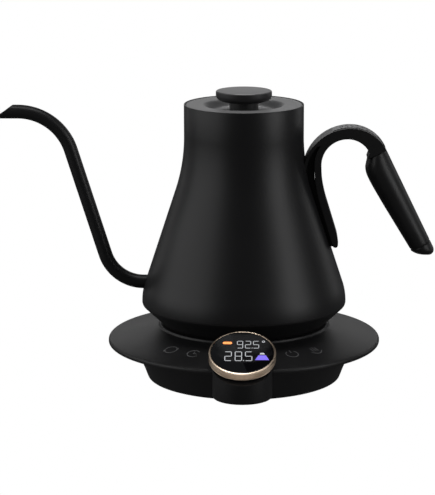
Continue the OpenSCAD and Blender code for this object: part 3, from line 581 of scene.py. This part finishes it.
board_green = finish_coat("board_green", (0.012, 0.075, 0.030), (0.03, 0.14, 0.06), rough=0.35,
                          size=0.0012, relief=0.00003, rub_and_highlight=0.3, cloud=0.006, coat=0.4)
part_grey = finish_coat("part_grey", (0.03, 0.032, 0.04), (0.09, 0.095, 0.11), rough=0.5,
                        cloud=0.004)
cable_grey = finish_coat("cable_grey", (0.16, 0.17, 0.18), (0.26, 0.27, 0.28), rough=0.5,
                         stretch_z=8, size=0.001, relief=0.0001)
brass = finish_coat("contact_brass", (0.48, 0.32, 0.13), (0.72, 0.52, 0.25), rough=0.28,
                    spread=0.2, size=0.0003, relief=0.000005, metallic=1.0, cloud=0.004)
nylon = finish_coat("connector_black", (0.012, 0.012, 0.013), (0.032, 0.032, 0.034), rough=0.5,
                    size=0.0006, relief=0.00003)


def finish_node(material, *names):
    """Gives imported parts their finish."""
    for name in names:
        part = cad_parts[name]
        part.data.materials.clear()
        part.data.materials.append(material)


finish_node(board_green, "power_board", "touch_board", "dial_board", "display_board")
finish_node(part_grey, "power_parts")
finish_node(cable_grey, "dial_cable")
finish_node(brass, "contact_rings", "touch_pads", "kettle_contacts")
finish_node(nylon, "base_connector", "connector_core", "dial_carrier", "kettle_connector",
            "connector_cover")
finish_node(rubber, "cord_gland")

# ---------------------------- dial ring
# A turned aluminium ring, anodised champagne, with a polished bevel at the
# glass and fine straight knurling round its side.


def tilt_to_dial(piece):
    """Moves a piece made about the origin to the dial, Z along the dial's axis."""
    piece.location = dial_centre * MM
    piece.rotation_euler = (dial_tilt, 0, 0)
    return place_in_mesh(piece)


champagne = finish_coat("champagne", (0.42, 0.33, 0.25), (0.62, 0.51, 0.40), rough=0.34,
                        spread=0.12, size=0.0002, relief=0.000004, rub_and_highlight=0.5, metallic=1.0,
                        cloud=0.006)
RIBS, RIB_R, GROOVE_R = 168, 22.4, 22.05
ring = turned("knurled_ring",
              [(19.65, -1.85), (21.2, -1.85), (21.2, 0), (21.28, 0.12), (21.36, 0.15),
               (21.6, 0.09), (22.1, -0.04), (22.38, -0.28), (22.45, -0.5), (22.45, -0.8),
               (22.27, -0.95), (RIB_R, -1.1), (RIB_R, -4.9), (22.25, -5.05), (RIB_R, -5.2),
               (22.15, -5.6), (21.45, -5.6), (21.45, -4.2), (20.05, -4.2), (20.05, -5.6),
               (19.65, -5.6)], steps=RIBS * 3)
for point in ring.data.vertices:
    rib = round((math.atan2(point.co.y, point.co.x) % math.tau) / math.tau * RIBS * 3) % 3
    side_radius = Vector(point.co.xy).length / MM
    point.select = rib == 0 and abs(side_radius - RIB_R) < 0.02 and -5 < point.co.z / MM < -1
for edge in ring.data.edges:
    edge.select = False
for face in ring.data.polygons:
    face.select = False
pick(ring)
bpy.ops.object.mode_set(mode="EDIT")
bpy.ops.mesh.select_mode(type="VERT")
bpy.ops.transform.resize(value=(GROOVE_R / RIB_R, GROOVE_R / RIB_R, 1),
                         center_override=(0, 0, 0))
bpy.ops.object.mode_set(mode="OBJECT")
put_on(tilt_to_dial(smooth(ring, 25)), "dial_rim", champagne, "champagne", "dial_ring")
strip_lights.objects.link(ring)
finish_node(finish_coat("ferrite", (0.05, 0.05, 0.055), (0.11, 0.11, 0.115), rough=0.6),
            "dial_magnet")
finish_node(screw_steel, "dial_retainer")

# ---------------------------- display window
# A disc of gloss black glass over the display, its edge ground to a small bevel.
# Its left end has a painted reflection: the colour is a little paler beyond a slanting line.

window_black = finish_coat("window_black", (0.004, 0.004, 0.005), (0.007, 0.007, 0.009),
                           rough=0.05, spread=0.05, size=0.004, relief=0.000001, rub_and_highlight=0.0,
                           cloud=0.03)
tree = window_black.node_tree
shader = tree.nodes["Principled BSDF"]
# Painted reflection: past a slanting line on the glass's face its colour turns paler, standing
# in for glare.
face_at = node(tree, "ShaderNodeSeparateXYZ")
tree.links.new(node(tree, "ShaderNodeTexCoord").outputs["Object"], face_at.inputs[0])
lean_line = math_node(tree, "MULTIPLY_ADD", face_at.outputs["Y"], 0.33, face_at.outputs["X"])
painted_glare_mask = node(tree, "ShaderNodeMapRange")
tree.links.new(lean_line, painted_glare_mask.inputs["Value"])
painted_glare_mask.inputs["From Min"].default_value = -0.0343
painted_glare_mask.inputs["From Max"].default_value = -0.0333
painted_glare_colour = node(tree, "ShaderNodeMix", data_type="RGBA")
painted_glare_colour.inputs[6].default_value = (0.020, 0.021, 0.023, 1)
tree.links.new(painted_glare_mask.outputs[0], painted_glare_colour.inputs[0])
tree.links.new(shader.inputs["Base Color"].links[0].from_socket, painted_glare_colour.inputs[7])
tree.links.new(painted_glare_colour.outputs[2], shader.inputs["Base Color"])
GLASS_R, GLASS_T = 21.05, 1
window = turned("display_window", [(0, -GLASS_T), (GLASS_R, -GLASS_T), (GLASS_R, -0.3),
                                   (20.97, -0.12), (20.8, -0.03), (20.5, 0), (0, 0)], steps=128)
put_on(tilt_to_dial(window), "dial_head", window_black, "display_glass", "display_lens")
finish_node(finish_coat("panel_black", (0.008, 0.008, 0.01), (0.016, 0.016, 0.018),
                        rough=0.2), "display_panel")

# ---------------------------- display
# Lit shapes, a hair proud of the window's face: two numbers, a degree sign, a warm
# bar for heating and a violet kettle sign.


def lit(name, dim, bright, strength):
    """A lit display shape, a little uneven over its face as a diffuser is."""
    made = bpy.data.materials.new(name)
    made.use_nodes = True
    tree = made.node_tree
    shader = tree.nodes["Principled BSDF"]
    shader.inputs["Base Color"].default_value = (0.02, 0.02, 0.02, 1)
    shader.inputs["Roughness"].default_value = 0.3
    shader.inputs["Emission Strength"].default_value = strength
    spread = node(tree, "ShaderNodeTexNoise", Scale=900.0)
    tree.links.new(node(tree, "ShaderNodeTexCoord").outputs["Object"], spread.inputs["Vector"])
    colour = node(tree, "ShaderNodeMix", data_type="RGBA")
    colour.inputs[6].default_value = (*dim, 1)
    colour.inputs[7].default_value = (*bright, 1)
    tree.links.new(spread.outputs[0], colour.inputs[0])
    tree.links.new(colour.outputs[2], shader.inputs["Emission Color"])
    return made


# Which of the seven bars each figure lights: top, upper right, lower right,
# bottom, lower left, upper left, middle.
LIT_BARS = {"2": "1101101", "5": "1011011", "8": "1111111", "9": "1111011"}


def figures(name, text, x, y, wide, tall, pitch, stroke):
    """A number in seven-bar figures, its lower left corner at (x, y) in mm."""
    parts = []
    for letter in text:
        if letter == ".":
            left = x - pitch + wide + (pitch - wide) / 2
            parts.append(bar("f", left, y + 0.1, left + 0.1, y + 0.1, stroke * 1.7))
            continue
        gap, half = stroke * 0.75, tall / 2
        ends = [((gap, tall), (wide - gap, tall)), ((wide, tall - gap), (wide, half + gap)),
                ((wide, half - gap), (wide, gap)), ((gap, 0), (wide - gap, 0)),
                ((0, gap), (0, half - gap)), ((0, half + gap), (0, tall - gap)),
                ((gap, half), (wide - gap, half))]
        for on, (a, b) in zip(LIT_BARS[letter], ends):
            if on == "1":
                parts.append(bar("f", x + a[0], y + a[1], x + b[0], y + b[1], stroke))
        x += pitch
    return join(name, parts)


white_light = lit("display_white", (0.62, 0.64, 0.68), (0.9, 0.92, 0.95), 0.8)
amber_light = lit("display_amber", (1.0, 0.22, 0.04), (1.0, 0.42, 0.14), 1.6)
violet_light = lit("display_violet", (0.20, 0.14, 0.80), (0.27, 0.20, 0.95), 1.1)
shapes = [
    (figures("set_figures", "92.5", -3.4, 4.6, 3.6, 7.2, 5.35, 0.4), white_light),
    (figures("now_figures", "28.5", -11.5, -8.3, 4.3, 9.1, 6.8, 0.5), white_light),
    (flat_ring("degree_sign", 0.8, 0.4, 0, 360), white_light),
    (flat_shape("heat_bar", [(p[0] + 1.9 * (1 if p[0] > 0 else -1) - 10, p[1] + 9.9)
                             for p in arc((0, 0), 1.2, 90, -269, 24)]), amber_light),
    (flat_shape("kettle_sign", [(8.5, -7.6), (17.8, -7.6), (15.7, -2.8), (10.7, -2.8)]),
     violet_light),
    (flat_shape("kettle_sign_knob", [(11.5, -1.9), (15.0, -1.9), (14.3, -0.3), (12.1, -0.3)]),
     white_light),
]
degree = shapes[2][0]
degree.location = (14.0 * MM, 11.3 * MM, 0)
place_in_mesh(degree)
for shape, light in shapes:
    put_on(tilt_to_dial(shape), "dial_head", light, "display_glass")

# ---------------------------- kettle's underside
# The skirt that closes the kettle below: a deep chamfer up to the body, a foot
# ring to stand on and a socket for the connector, held by three screws.

skirt_black = finish_coat("skirt_black", (0.008, 0.008, 0.009), (0.020, 0.020, 0.021),
                          rough=0.55, size=0.0004, relief=0.00003)
skirt = turned("kettle_underside",
               [(25.3, 41.4), (46.4, 41.4), (46.6, 41.2)] + arc((47.2, 39.3), 0.6, 180, 270, 4)
               + arc((52.0, 39.3), 0.6, 270, 360, 4) + [(52.6, 41.2), (52.8, 41.4)]
               + arc((56.2, 42.6), 1.2, 270, 313.4, 4)
               + arc((69.4, 55.6), 1.6, 313.4, 360, 5)
               + [(71.0, 55.8), (69.2, 55.8), (69.2, 58.2), (67.2, 58.2), (67.2, 54.4),
                  (56.0, 43.8), (27.8, 43.8), (27.8, 50), (25.3, 50)], steps=160)
SKIRT_SCREW_SEAT = 42.8
for number, (x, y) in enumerate(around(38, 30, 150, 270), 1):
    screw_hole(skirt, x, y, 40, SKIRT_SCREW_SEAT, 46)
    drive_screw("kettle_screw_%d" % number, (x, y, SKIRT_SCREW_SEAT), 8, "kettle",
                "skirt_screws")
put_on(smooth(skirt), "kettle", skirt_black, "skirt_black", "kettle_skirt")

# ---------------------------- heater and probe
# Under the steel floor: a sheathed element pressed to an aluminium spreader, a
# cut-out, red silicone leads, and the probe that stands in the water.

inner_steel = finish_coat("inner_steel", (0.50, 0.51, 0.52), (0.66, 0.67, 0.68), rough=0.28,
                          spread=0.12, size=0.0003, relief=0.000006, metallic=1.0,
                          stretch_z=14, cloud=0.03)
element_steel = finish_coat("element_steel", (0.20, 0.18, 0.17), (0.45, 0.43, 0.40), rough=0.45,
                            spread=0.2, metallic=1.0, cloud=0.008)
aluminium = finish_coat("spreader_aluminium", (0.52, 0.52, 0.53), (0.70, 0.70, 0.71),
                        rough=0.38, metallic=1.0, stretch_z=0.1, relief=0.00001)
red_silicone = finish_coat("red_silicone", (0.26, 0.035, 0.025), (0.42, 0.07, 0.05), rough=0.5)
finish_node(inner_steel, "neck_ring", "vessel_floor", "temperature_probe", "lid_inner")
finish_node(element_steel, "heating_element")
finish_node(aluminium, "heat_spreader")
finish_node(red_silicone, "probe_seal", "element_leads")
finish_node(finish_coat("ceramic", (0.62, 0.60, 0.55), (0.80, 0.78, 0.73), rough=0.55),
            "thermal_cutout")

# ---------------------------- body
# A drawn steel vessel, powder coated matte black outside and bare inside: a
# rounded foot, a straight cone and a long curve into the neck.

body_black = finish_coat("body_black", (0.0105, 0.0105, 0.0115), (0.020, 0.020, 0.0215),
                         rough=0.42, spread=0.05, size=0.00022, relief=0.000012, cloud=0.05,
                         rub_and_highlight=0.1)
FOOT, FOOT_R = (31.2, 56.6), 40      # the foot's curve: its centre (radius, z) and radius
NECK, NECK_R = (161.4, 172.85), 120  # the curve into the neck
STEEL = 0.8                          # thickness of the sheet
BODY_LOW, RIM_Z = 56, 195.2
run_x, run_z = NECK[0] - FOOT[0], NECK[1] - FOOT[1]
flank = math.degrees(math.atan2(run_z, run_x)
                     - math.acos((FOOT_R + NECK_R) / math.hypot(run_x, run_z)))
outside = ([(71.2, BODY_LOW)] + arc(FOOT, FOOT_R, 0, flank, 16)
           + arc(NECK, NECK_R, 180 + flank, 180, 30)
           + [(41.4, 194.8), (41.3, 195.08), (41.1, RIM_Z)])
inside = ([(40.9, RIM_Z), (40.7, 195.08), (40.6, 194.8)]
          + arc(NECK, NECK_R + STEEL, 180, 180 + flank, 30)
          + arc(FOOT, FOOT_R - STEEL, flank, 0, 16) + [(70.4, BODY_LOW)])
SPOUT_Z, SPOUT_R = 69.4, 4           # height and radius of the spout's first run
body = turned("kettle_body", outside + inside, steps=256, angle=50)
cut(body, rod(SPOUT_R + 0.05, (-76, 0, SPOUT_Z), (-56, 0, SPOUT_Z), 64))
body.data.materials.append(body_black)
body.data.materials.append(inner_steel)
for face in body.data.polygons:
    outwards = face.normal.x * face.center.x + face.normal.y * face.center.y
    face.material_index = int(outwards < 0 and face.center.z < 194.5 * MM
                              and abs(face.normal.z) < 0.9)
put_on(smooth(body, 40), "kettle", body_black, "body_black", "vessel")

# ---------------------------- spout
# A slim gooseneck: steel tube bent twice, welded into the body low down, its
# tip cut on a slant so that it pours a thin stream.

lean = math.radians(17.35)           # of the long middle run, from upright
rise = math.pi / 2 - lean
half_bend = math.tan(rise / 2)
KNEE_X, KNEE_R = 90.65, 28           # where the first two runs would meet, and the bend there
TOP_BEND_R, TIP_RUN, TIP_Z = 38.1, 15.7, 189.5
start_x = KNEE_X - KNEE_R * half_bend
climb = (TIP_Z - SPOUT_Z) / math.sin(rise) - (KNEE_R + TOP_BEND_R) * half_bend
upper_x = KNEE_X + (TIP_Z - SPOUT_Z) / math.tan(rise) + TOP_BEND_R * half_bend
INNER_END, CLIMB_STEPS = 66, 12      # the tube starts inside the body
bpy.ops.mesh.primitive_circle_add(vertices=48, radius=SPOUT_R * MM,
                                  location=(-INNER_END * MM, 0, SPOUT_Z * MM),
                                  rotation=(0, math.pi / 2, 0))
spout = bpy.context.object
spout.name = spout.data.name = "spout_tube"
place_in_mesh(spout)
bpy.ops.object.mode_set(mode="EDIT")
bpy.ops.mesh.select_all(action="SELECT")
push(((INNER_END - start_x) * MM, 0, 0))
bpy.ops.mesh.spin(steps=28, angle=-rise, center=(-start_x * MM, 0, (SPOUT_Z + KNEE_R) * MM),
                  axis=(0, 1, 0))
step = climb / CLIMB_STEPS * MM
for part in range(CLIMB_STEPS):
    push((-math.sin(lean) * step, 0, math.cos(lean) * step))
bpy.ops.mesh.spin(steps=32, angle=rise, center=(-upper_x * MM, 0, (TIP_Z - TOP_BEND_R) * MM),
                  axis=(0, 1, 0))
push((-TIP_RUN * MM, 0, 0))
slant = math.radians(32.5)           # of the tip's cut, which meets the tube's underside
bpy.ops.mesh.select_all(action="SELECT")
bpy.ops.mesh.bisect(plane_co=((-upper_x - TIP_RUN) * MM, 0, (TIP_Z - SPOUT_R) * MM),
                    plane_no=(-math.sin(slant), 0, math.cos(slant)), clear_outer=True)
leave_edit(merge=1e-6)
wall = spout.modifiers.new("wall", "SOLIDIFY")
wall.thickness, wall.offset, wall.use_even_offset = STEEL * MM, -1, True
pick(spout)
bpy.ops.object.modifier_apply(modifier=wall.name)
put_on(smooth(spout, 50), "kettle", body_black, "body_black", "spout")

# ---------------------------- handle arm
# One moulding: a strap up the back of the body, an arch over the fingers and a
# tongue inside the grip. Two screws through the strap hold it to the bracket.


ARCH_NEAR, ARCH_NEAR_R = (73.7, 146.6), 33  # top of the arch, on the body's side
ARCH_FAR, ARCH_FAR_R = (73.7, 152.6), 27    # top of the arch, on the grip's side
LOOP, LOOP_R = (71.5, 154.2), 18            # the curve over the fingers
STRAP, STRAP_R = (143.5, 154.2), 90         # the strap's hollow curve
STRAP_T, STRAP_END = 4.8, 17                # its thickness, and how far it curves, in degrees


def plate(name, outline, half, edge):
    """An (x, z) outline in mm as a plate that reaches half each side of Y = 0, its long
    edges rounded."""
    piece = draw(name, outline + outline[:1])
    bpy.ops.mesh.edge_face_add()
    bpy.ops.transform.translate(value=(0, -half * MM, 0))
    push((0, 2 * half * MM, 0))
    bpy.ops.mesh.select_all(action="SELECT")
    bpy.ops.mesh.normals_make_consistent(inside=False)
    bpy.ops.mesh.select_all(action="DESELECT")
    bpy.ops.object.mode_set(mode="OBJECT")
    for face in piece.data.polygons:
        face.select = abs(face.normal.y) > 0.9
    bpy.ops.object.mode_set(mode="EDIT")
    bpy.ops.mesh.region_to_loop()
    bpy.ops.mesh.bevel(offset=edge * MM, segments=3, profile=0.5)
    bpy.ops.object.mode_set(mode="OBJECT")
    return piece


def along_strap(z, offset):
    """X of the strap's straight run at height z, offset towards the body."""
    slope = math.radians(STRAP_END)
    end_x = STRAP[0] - STRAP_R * math.cos(slope)
    end_z = STRAP[1] - STRAP_R * math.sin(slope)
    return end_x + (end_z - z) * math.tan(slope) - offset / math.cos(slope)


handle_black = finish_coat("handle_black", (0.011, 0.011, 0.0115), (0.026, 0.026, 0.027),
                           rough=0.42, size=0.0003, relief=0.000015, rub_and_highlight=0.25)
grip_turn = math.radians(26)
arm = plate("arch_arm",
            arc(ARCH_NEAR, ARCH_NEAR_R, 176, 90, 40) + arc(ARCH_FAR, ARCH_FAR_R, 84, 26, 24)
            + [(97.97 - 14.4 * math.cos(grip_turn), 164.44 - 14.4 * math.sin(grip_turn))]
            + arc((71.5, 155.7), 16.5, 24, 90, 24) + arc(LOOP, LOOP_R, 96, 180, 32)
            + arc(STRAP, STRAP_R, 181, 180 + STRAP_END, 12)
            + [(along_strap(104, 0), 104), (along_strap(100.4, 0.4), 100.4),
               (along_strap(97.6, 1.3), 97.6), (along_strap(96.4, 2.2), 96.4),
               (along_strap(96.0, 3.0), 96.0), (along_strap(96.0, 4.0), 96.0),
               (along_strap(96.5, STRAP_T), 96.5)]
            + arc(STRAP, STRAP_R + STRAP_T, 180 + STRAP_END, 181, 12)
            + arc(LOOP, LOOP_R + STRAP_T, 180, 145, 12) + arc(ARCH_NEAR, 30.8, 138, 176, 20),
            10, 1.0)
cut(arm, turned("body_inside", [(0, 90)] + [(r + 0.05, z) for r, z in outside if z > 90]
                + [(0, 195)], steps=96))


def down_the_grip(piece):
    """Moves a piece made about the origin to the arm's end, Z down the grip and X from
    its outer line inwards."""
    piece.location = (97.967 * MM, 0, 164.436 * MM)
    piece.rotation_euler = (0, math.pi - grip_turn, 0)
    return place_in_mesh(piece)


tongue = place_in_mesh(block((3.6, -6, -2), (11.6, 6, 60)))
cut(arm, down_the_grip(tongue), how="UNION")
RECESS_OUT, RECESS_IN = 2, 1.5  # how far the pad's recess is cut past the arch's top, each way
pad_recess = plate("pad_recess", arc(ARCH_NEAR, ARCH_NEAR_R + RECESS_OUT, 111.7, 90, 12)
                   + arc(ARCH_FAR, ARCH_FAR_R + RECESS_OUT, 84, 48.3, 16)
                   + arc(ARCH_FAR, ARCH_FAR_R - RECESS_IN, 48.3, 84, 16)
                   + arc(ARCH_NEAR, ARCH_NEAR_R - RECESS_IN, 90, 111.7, 12), 6.6, 0.1)
cut(arm, pad_recess)
HEAD_SINK = 1.85  # from the strap's face to the screw's seat
screw_rows = []
for z in (140, 157):
    (centre_x, centre_z), radius = (LOOP, LOOP_R) if z > LOOP[1] else (STRAP, STRAP_R)
    face_x = centre_x - math.sqrt(radius ** 2 - (z - centre_z) ** 2)
    screw_rows.append((face_x - HEAD_SINK, z))
    cut(arm, rod(2.9, (face_x - HEAD_SINK - 0.05, 0, z), (face_x + 8, 0, z), 32),
        rod(1.6, (43.4, 0, z), (face_x + 8, 0, z), 24))
put_on(smooth(arm, 30), "kettle", handle_black, "handle_black", "handle_arm")
for number, (x, z) in enumerate(screw_rows, 1):
    drive_screw("handle_screw_%d" % number, (x, 0, z), 5.2, "kettle", "handle_screws",
                head=1.5, turn=-math.pi / 2)
finish_node(skirt_black, "handle_bracket")

# ---------------------------- thumb pad
# A soft rubber inlay on top of the arch, with rows of round dimples for the thumb.

pad_rubber = finish_coat("pad_rubber", (0.050, 0.050, 0.052), (0.090, 0.090, 0.093),
                         rough=0.55, size=0.0003, relief=0.00003, rub_and_highlight=0.2)
PAD_PROUD, PAD_DEEP = 0.3, 1.4  # over the arch's top, and under it
DENT_R, DENT_LIFT = 1.5, 0.5    # each dimple is a ball pressed in, its centre over the pad
pad = plate("thumb_inlay", arc(ARCH_NEAR, ARCH_NEAR_R + PAD_PROUD, 112, 90, 20)
            + arc(ARCH_FAR, ARCH_FAR_R + PAD_PROUD, 84, 48, 24)
            + arc(ARCH_FAR, ARCH_FAR_R - PAD_DEEP, 48, 84, 24)
            + arc(ARCH_NEAR, ARCH_NEAR_R - PAD_DEEP, 90, 112, 20), 6.5, 0.45)
dents = []
for column in range(-4, 3):
    centre, radius, pitch = ((ARCH_NEAR, ARCH_NEAR_R, 6.825) if column >= 0
                             else (ARCH_FAR, ARCH_FAR_R, 7.605))
    turn = math.radians(88 + column * pitch)
    for y in (-3.6, 3.6) if column % 2 else (0,):
        x = centre[0] + (radius + PAD_PROUD + DENT_LIFT) * math.cos(turn)
        z = centre[1] + (radius + PAD_PROUD + DENT_LIFT) * math.sin(turn)
        bpy.ops.mesh.primitive_uv_sphere_add(segments=16, ring_count=10, radius=DENT_R * MM,
                                             location=(x * MM, y * MM, z * MM))
        dents.append(bpy.context.object)
cut(pad, join("dents", dents))
put_on(smooth(pad, 40), "kettle", pad_rubber, "pad_rubber", "thumb_pad")
lid_lights.objects.link(pad)

# ---------------------------- grip
# A hollow moulding pushed over the arm's tongue: straight outside, with a heel
# for the finger just under the arch, and an oval section all the way down.


def oval(name, sections):
    """A solid through oval sections (distance down, inner edge, outer edge, width), mm."""
    down, x0, x1, wide = sections[0]
    bpy.ops.mesh.primitive_circle_add(vertices=72, radius=0.5 * MM, fill_type="NGON",
                                      location=((x0 + x1) / 2 * MM, 0, down * MM))
    piece = bpy.context.object
    piece.name = piece.data.name = name
    piece.scale = (x1 - x0, wide, 1)
    place_in_mesh(piece)
    bpy.ops.object.mode_set(mode="EDIT")
    bpy.ops.mesh.select_all(action="SELECT")
    last = sections[0]
    for down, x0, x1, wide in sections[1:]:
        middle, old = (x0 + x1) / 2, (last[1] + last[2]) / 2
        push(((middle - old) * MM, 0, (down - last[0]) * MM))
        bpy.ops.transform.resize(value=((x1 - x0) / (last[2] - last[1]), wide / last[3], 1),
                                 center_override=(middle * MM, 0, down * MM))
        last = (down, x0, x1, wide)
    leave_edit()
    return piece


def eased(stops, count):
    """Sections between a few measured ones, each curve smooth through its stops."""
    rows = []
    for index in range(len(stops) - 1):
        before, a, b = stops[max(index - 1, 0)], stops[index], stops[index + 1]
        after = stops[min(index + 2, len(stops) - 1)]
        for part in range(count):
            t, row = part / count, [a[0] + (b[0] - a[0]) * part / count]
            for k in (1, 2, 3):
                out = (b[k] - before[k]) / (b[0] - before[0]) * (b[0] - a[0])
                back = (after[k] - a[k]) / (after[0] - a[0]) * (b[0] - a[0])
                row.append((2 * t ** 3 - 3 * t ** 2 + 1) * a[k] + (t ** 3 - 2 * t ** 2 + t) * out
                           + (3 * t ** 2 - 2 * t ** 3) * b[k] + (t ** 3 - t ** 2) * back)
            rows.append(tuple(row))
    return rows + [tuple(stops[-1])]


grip_black = finish_coat("grip_black", (0.013, 0.013, 0.0135), (0.030, 0.030, 0.031),
                         rough=0.44, size=0.0003, relief=0.00002, rub_and_highlight=0.1)
grip = oval("grip_shell", [(0.05, 0.5, 13.9, 19.0), (0.4, 0.1, 14.5, 19.8)]
            + eased([(0.9, 0, 14.9, 20.2), (6, 0, 18.5, 22.4), (13, 0, 19.8, 23),
                     (31, 0, 18.8, 22.5), (52, 0, 16.9, 20.8), (71.0, 0, 15.1, 19.1)], 7)
            + [(71.8, 0.3, 14.7, 18.5)])
cut(grip, block((3.5, -6.1, -1), (11.7, 6.1, 74)))
put_on(smooth(down_the_grip(grip), 40), "kettle", grip_black, "grip_black", "grip")

# ---------------------------- grip cap
# A rounded cap that plugs the grip's lower end, with a fine groove at the joint.

cap = oval("grip_end", [(72.15, 0.35, 14.65, 18.4), (72.6, 0, 15, 19.0)]
           + eased([(73.2, 0, 15, 19.0), (76, 0, 12.9, 17.9), (78.3, 0.1, 10.0, 15.2),
                    (80.2, 1.0, 6.7, 10.5), (81.15, 2.4, 5.0, 5.0)], 4))
cut(cap, block((3.6, -6, 64), (11.6, 6, 73)), how="UNION")
put_on(smooth(down_the_grip(cap), 50), "kettle", grip_black, "grip_black", "grip_cap")

# ---------------------------- lid
# A coated shell with a dished top, a flange that sits just inside the rim and a
# skirt that carries the seal; a perforated steel plate closes it below.

lid_black = finish_coat("lid_black", (0.030, 0.030, 0.031), (0.048, 0.048, 0.050), rough=0.5,
                        size=0.00022, relief=0.000012, cloud=0.03, rub_and_highlight=0.2)


DISH_LOW, DISH_DEEP = 189.9, 5   # height of the dish's floor, and its depth
DISH_R, DISH_STEP = 22, 6.5      # radius of the floor, and the width of the step round it


def dish(radius):
    """Height of the dished top at a radius, a soft step up to the rim."""
    t = min(max((radius - DISH_R) / DISH_STEP, 0), 1)
    return DISH_LOW + DISH_DEEP * t * t * (3 - 2 * t)


rows = [DISH_R + DISH_STEP * i / 14 for i in range(15)]
lid = turned("lid_cover", [(1.9, 188.3), (1.9, DISH_LOW)] + [(r, dish(r)) for r in rows]
             + arc((39.5, 194.1), 0.8, 90, 0, 6)
             + [(40.3, 188.6), (40.1, 188.4), (38.05, 188.4), (38.05, 176.6), (37.7, 176.2),
                (36.85, 176.2), (36.65, 176.5), (36.65, 193.3)]
             + [(r + 0.9, dish(r) - 1.6) for r in reversed(rows)], steps=160, angle=40)
put_on(lid, "lid", lid_black, "lid_black", "lid_shell")
lid_lights.objects.link(lid)
finish_node(finish_coat("seal_grey", (0.05, 0.05, 0.052), (0.10, 0.10, 0.104), rough=0.6),
            "lid_seal")

# ---------------------------- knob
# A turned satin knob, flat on top and undercut for the fingertips, screwed to
# the lid from inside.

knob_black = finish_coat("knob_black", (0.020, 0.020, 0.021), (0.036, 0.036, 0.037), rough=0.46,
                         size=0.0003, relief=0.00001, rub_and_highlight=0.3, cloud=0.02)
knob = turned("lid_knob", [(0, 198.9), (1.75, 198.9), (1.75, 189.95), (10, 189.95), (10, 197.3)]
              + arc((15.15, 201.7), 4.2, 262, 360, 14) + arc((18.35, 203.5), 1.0, 0, 90, 6)
              + [(0, 204.5)], steps=128, angle=50)
put_on(knob, "lid", knob_black, "knob_black", "knob")
lid_lights.objects.link(knob)
finish_node(screw_steel, "knob_screw")
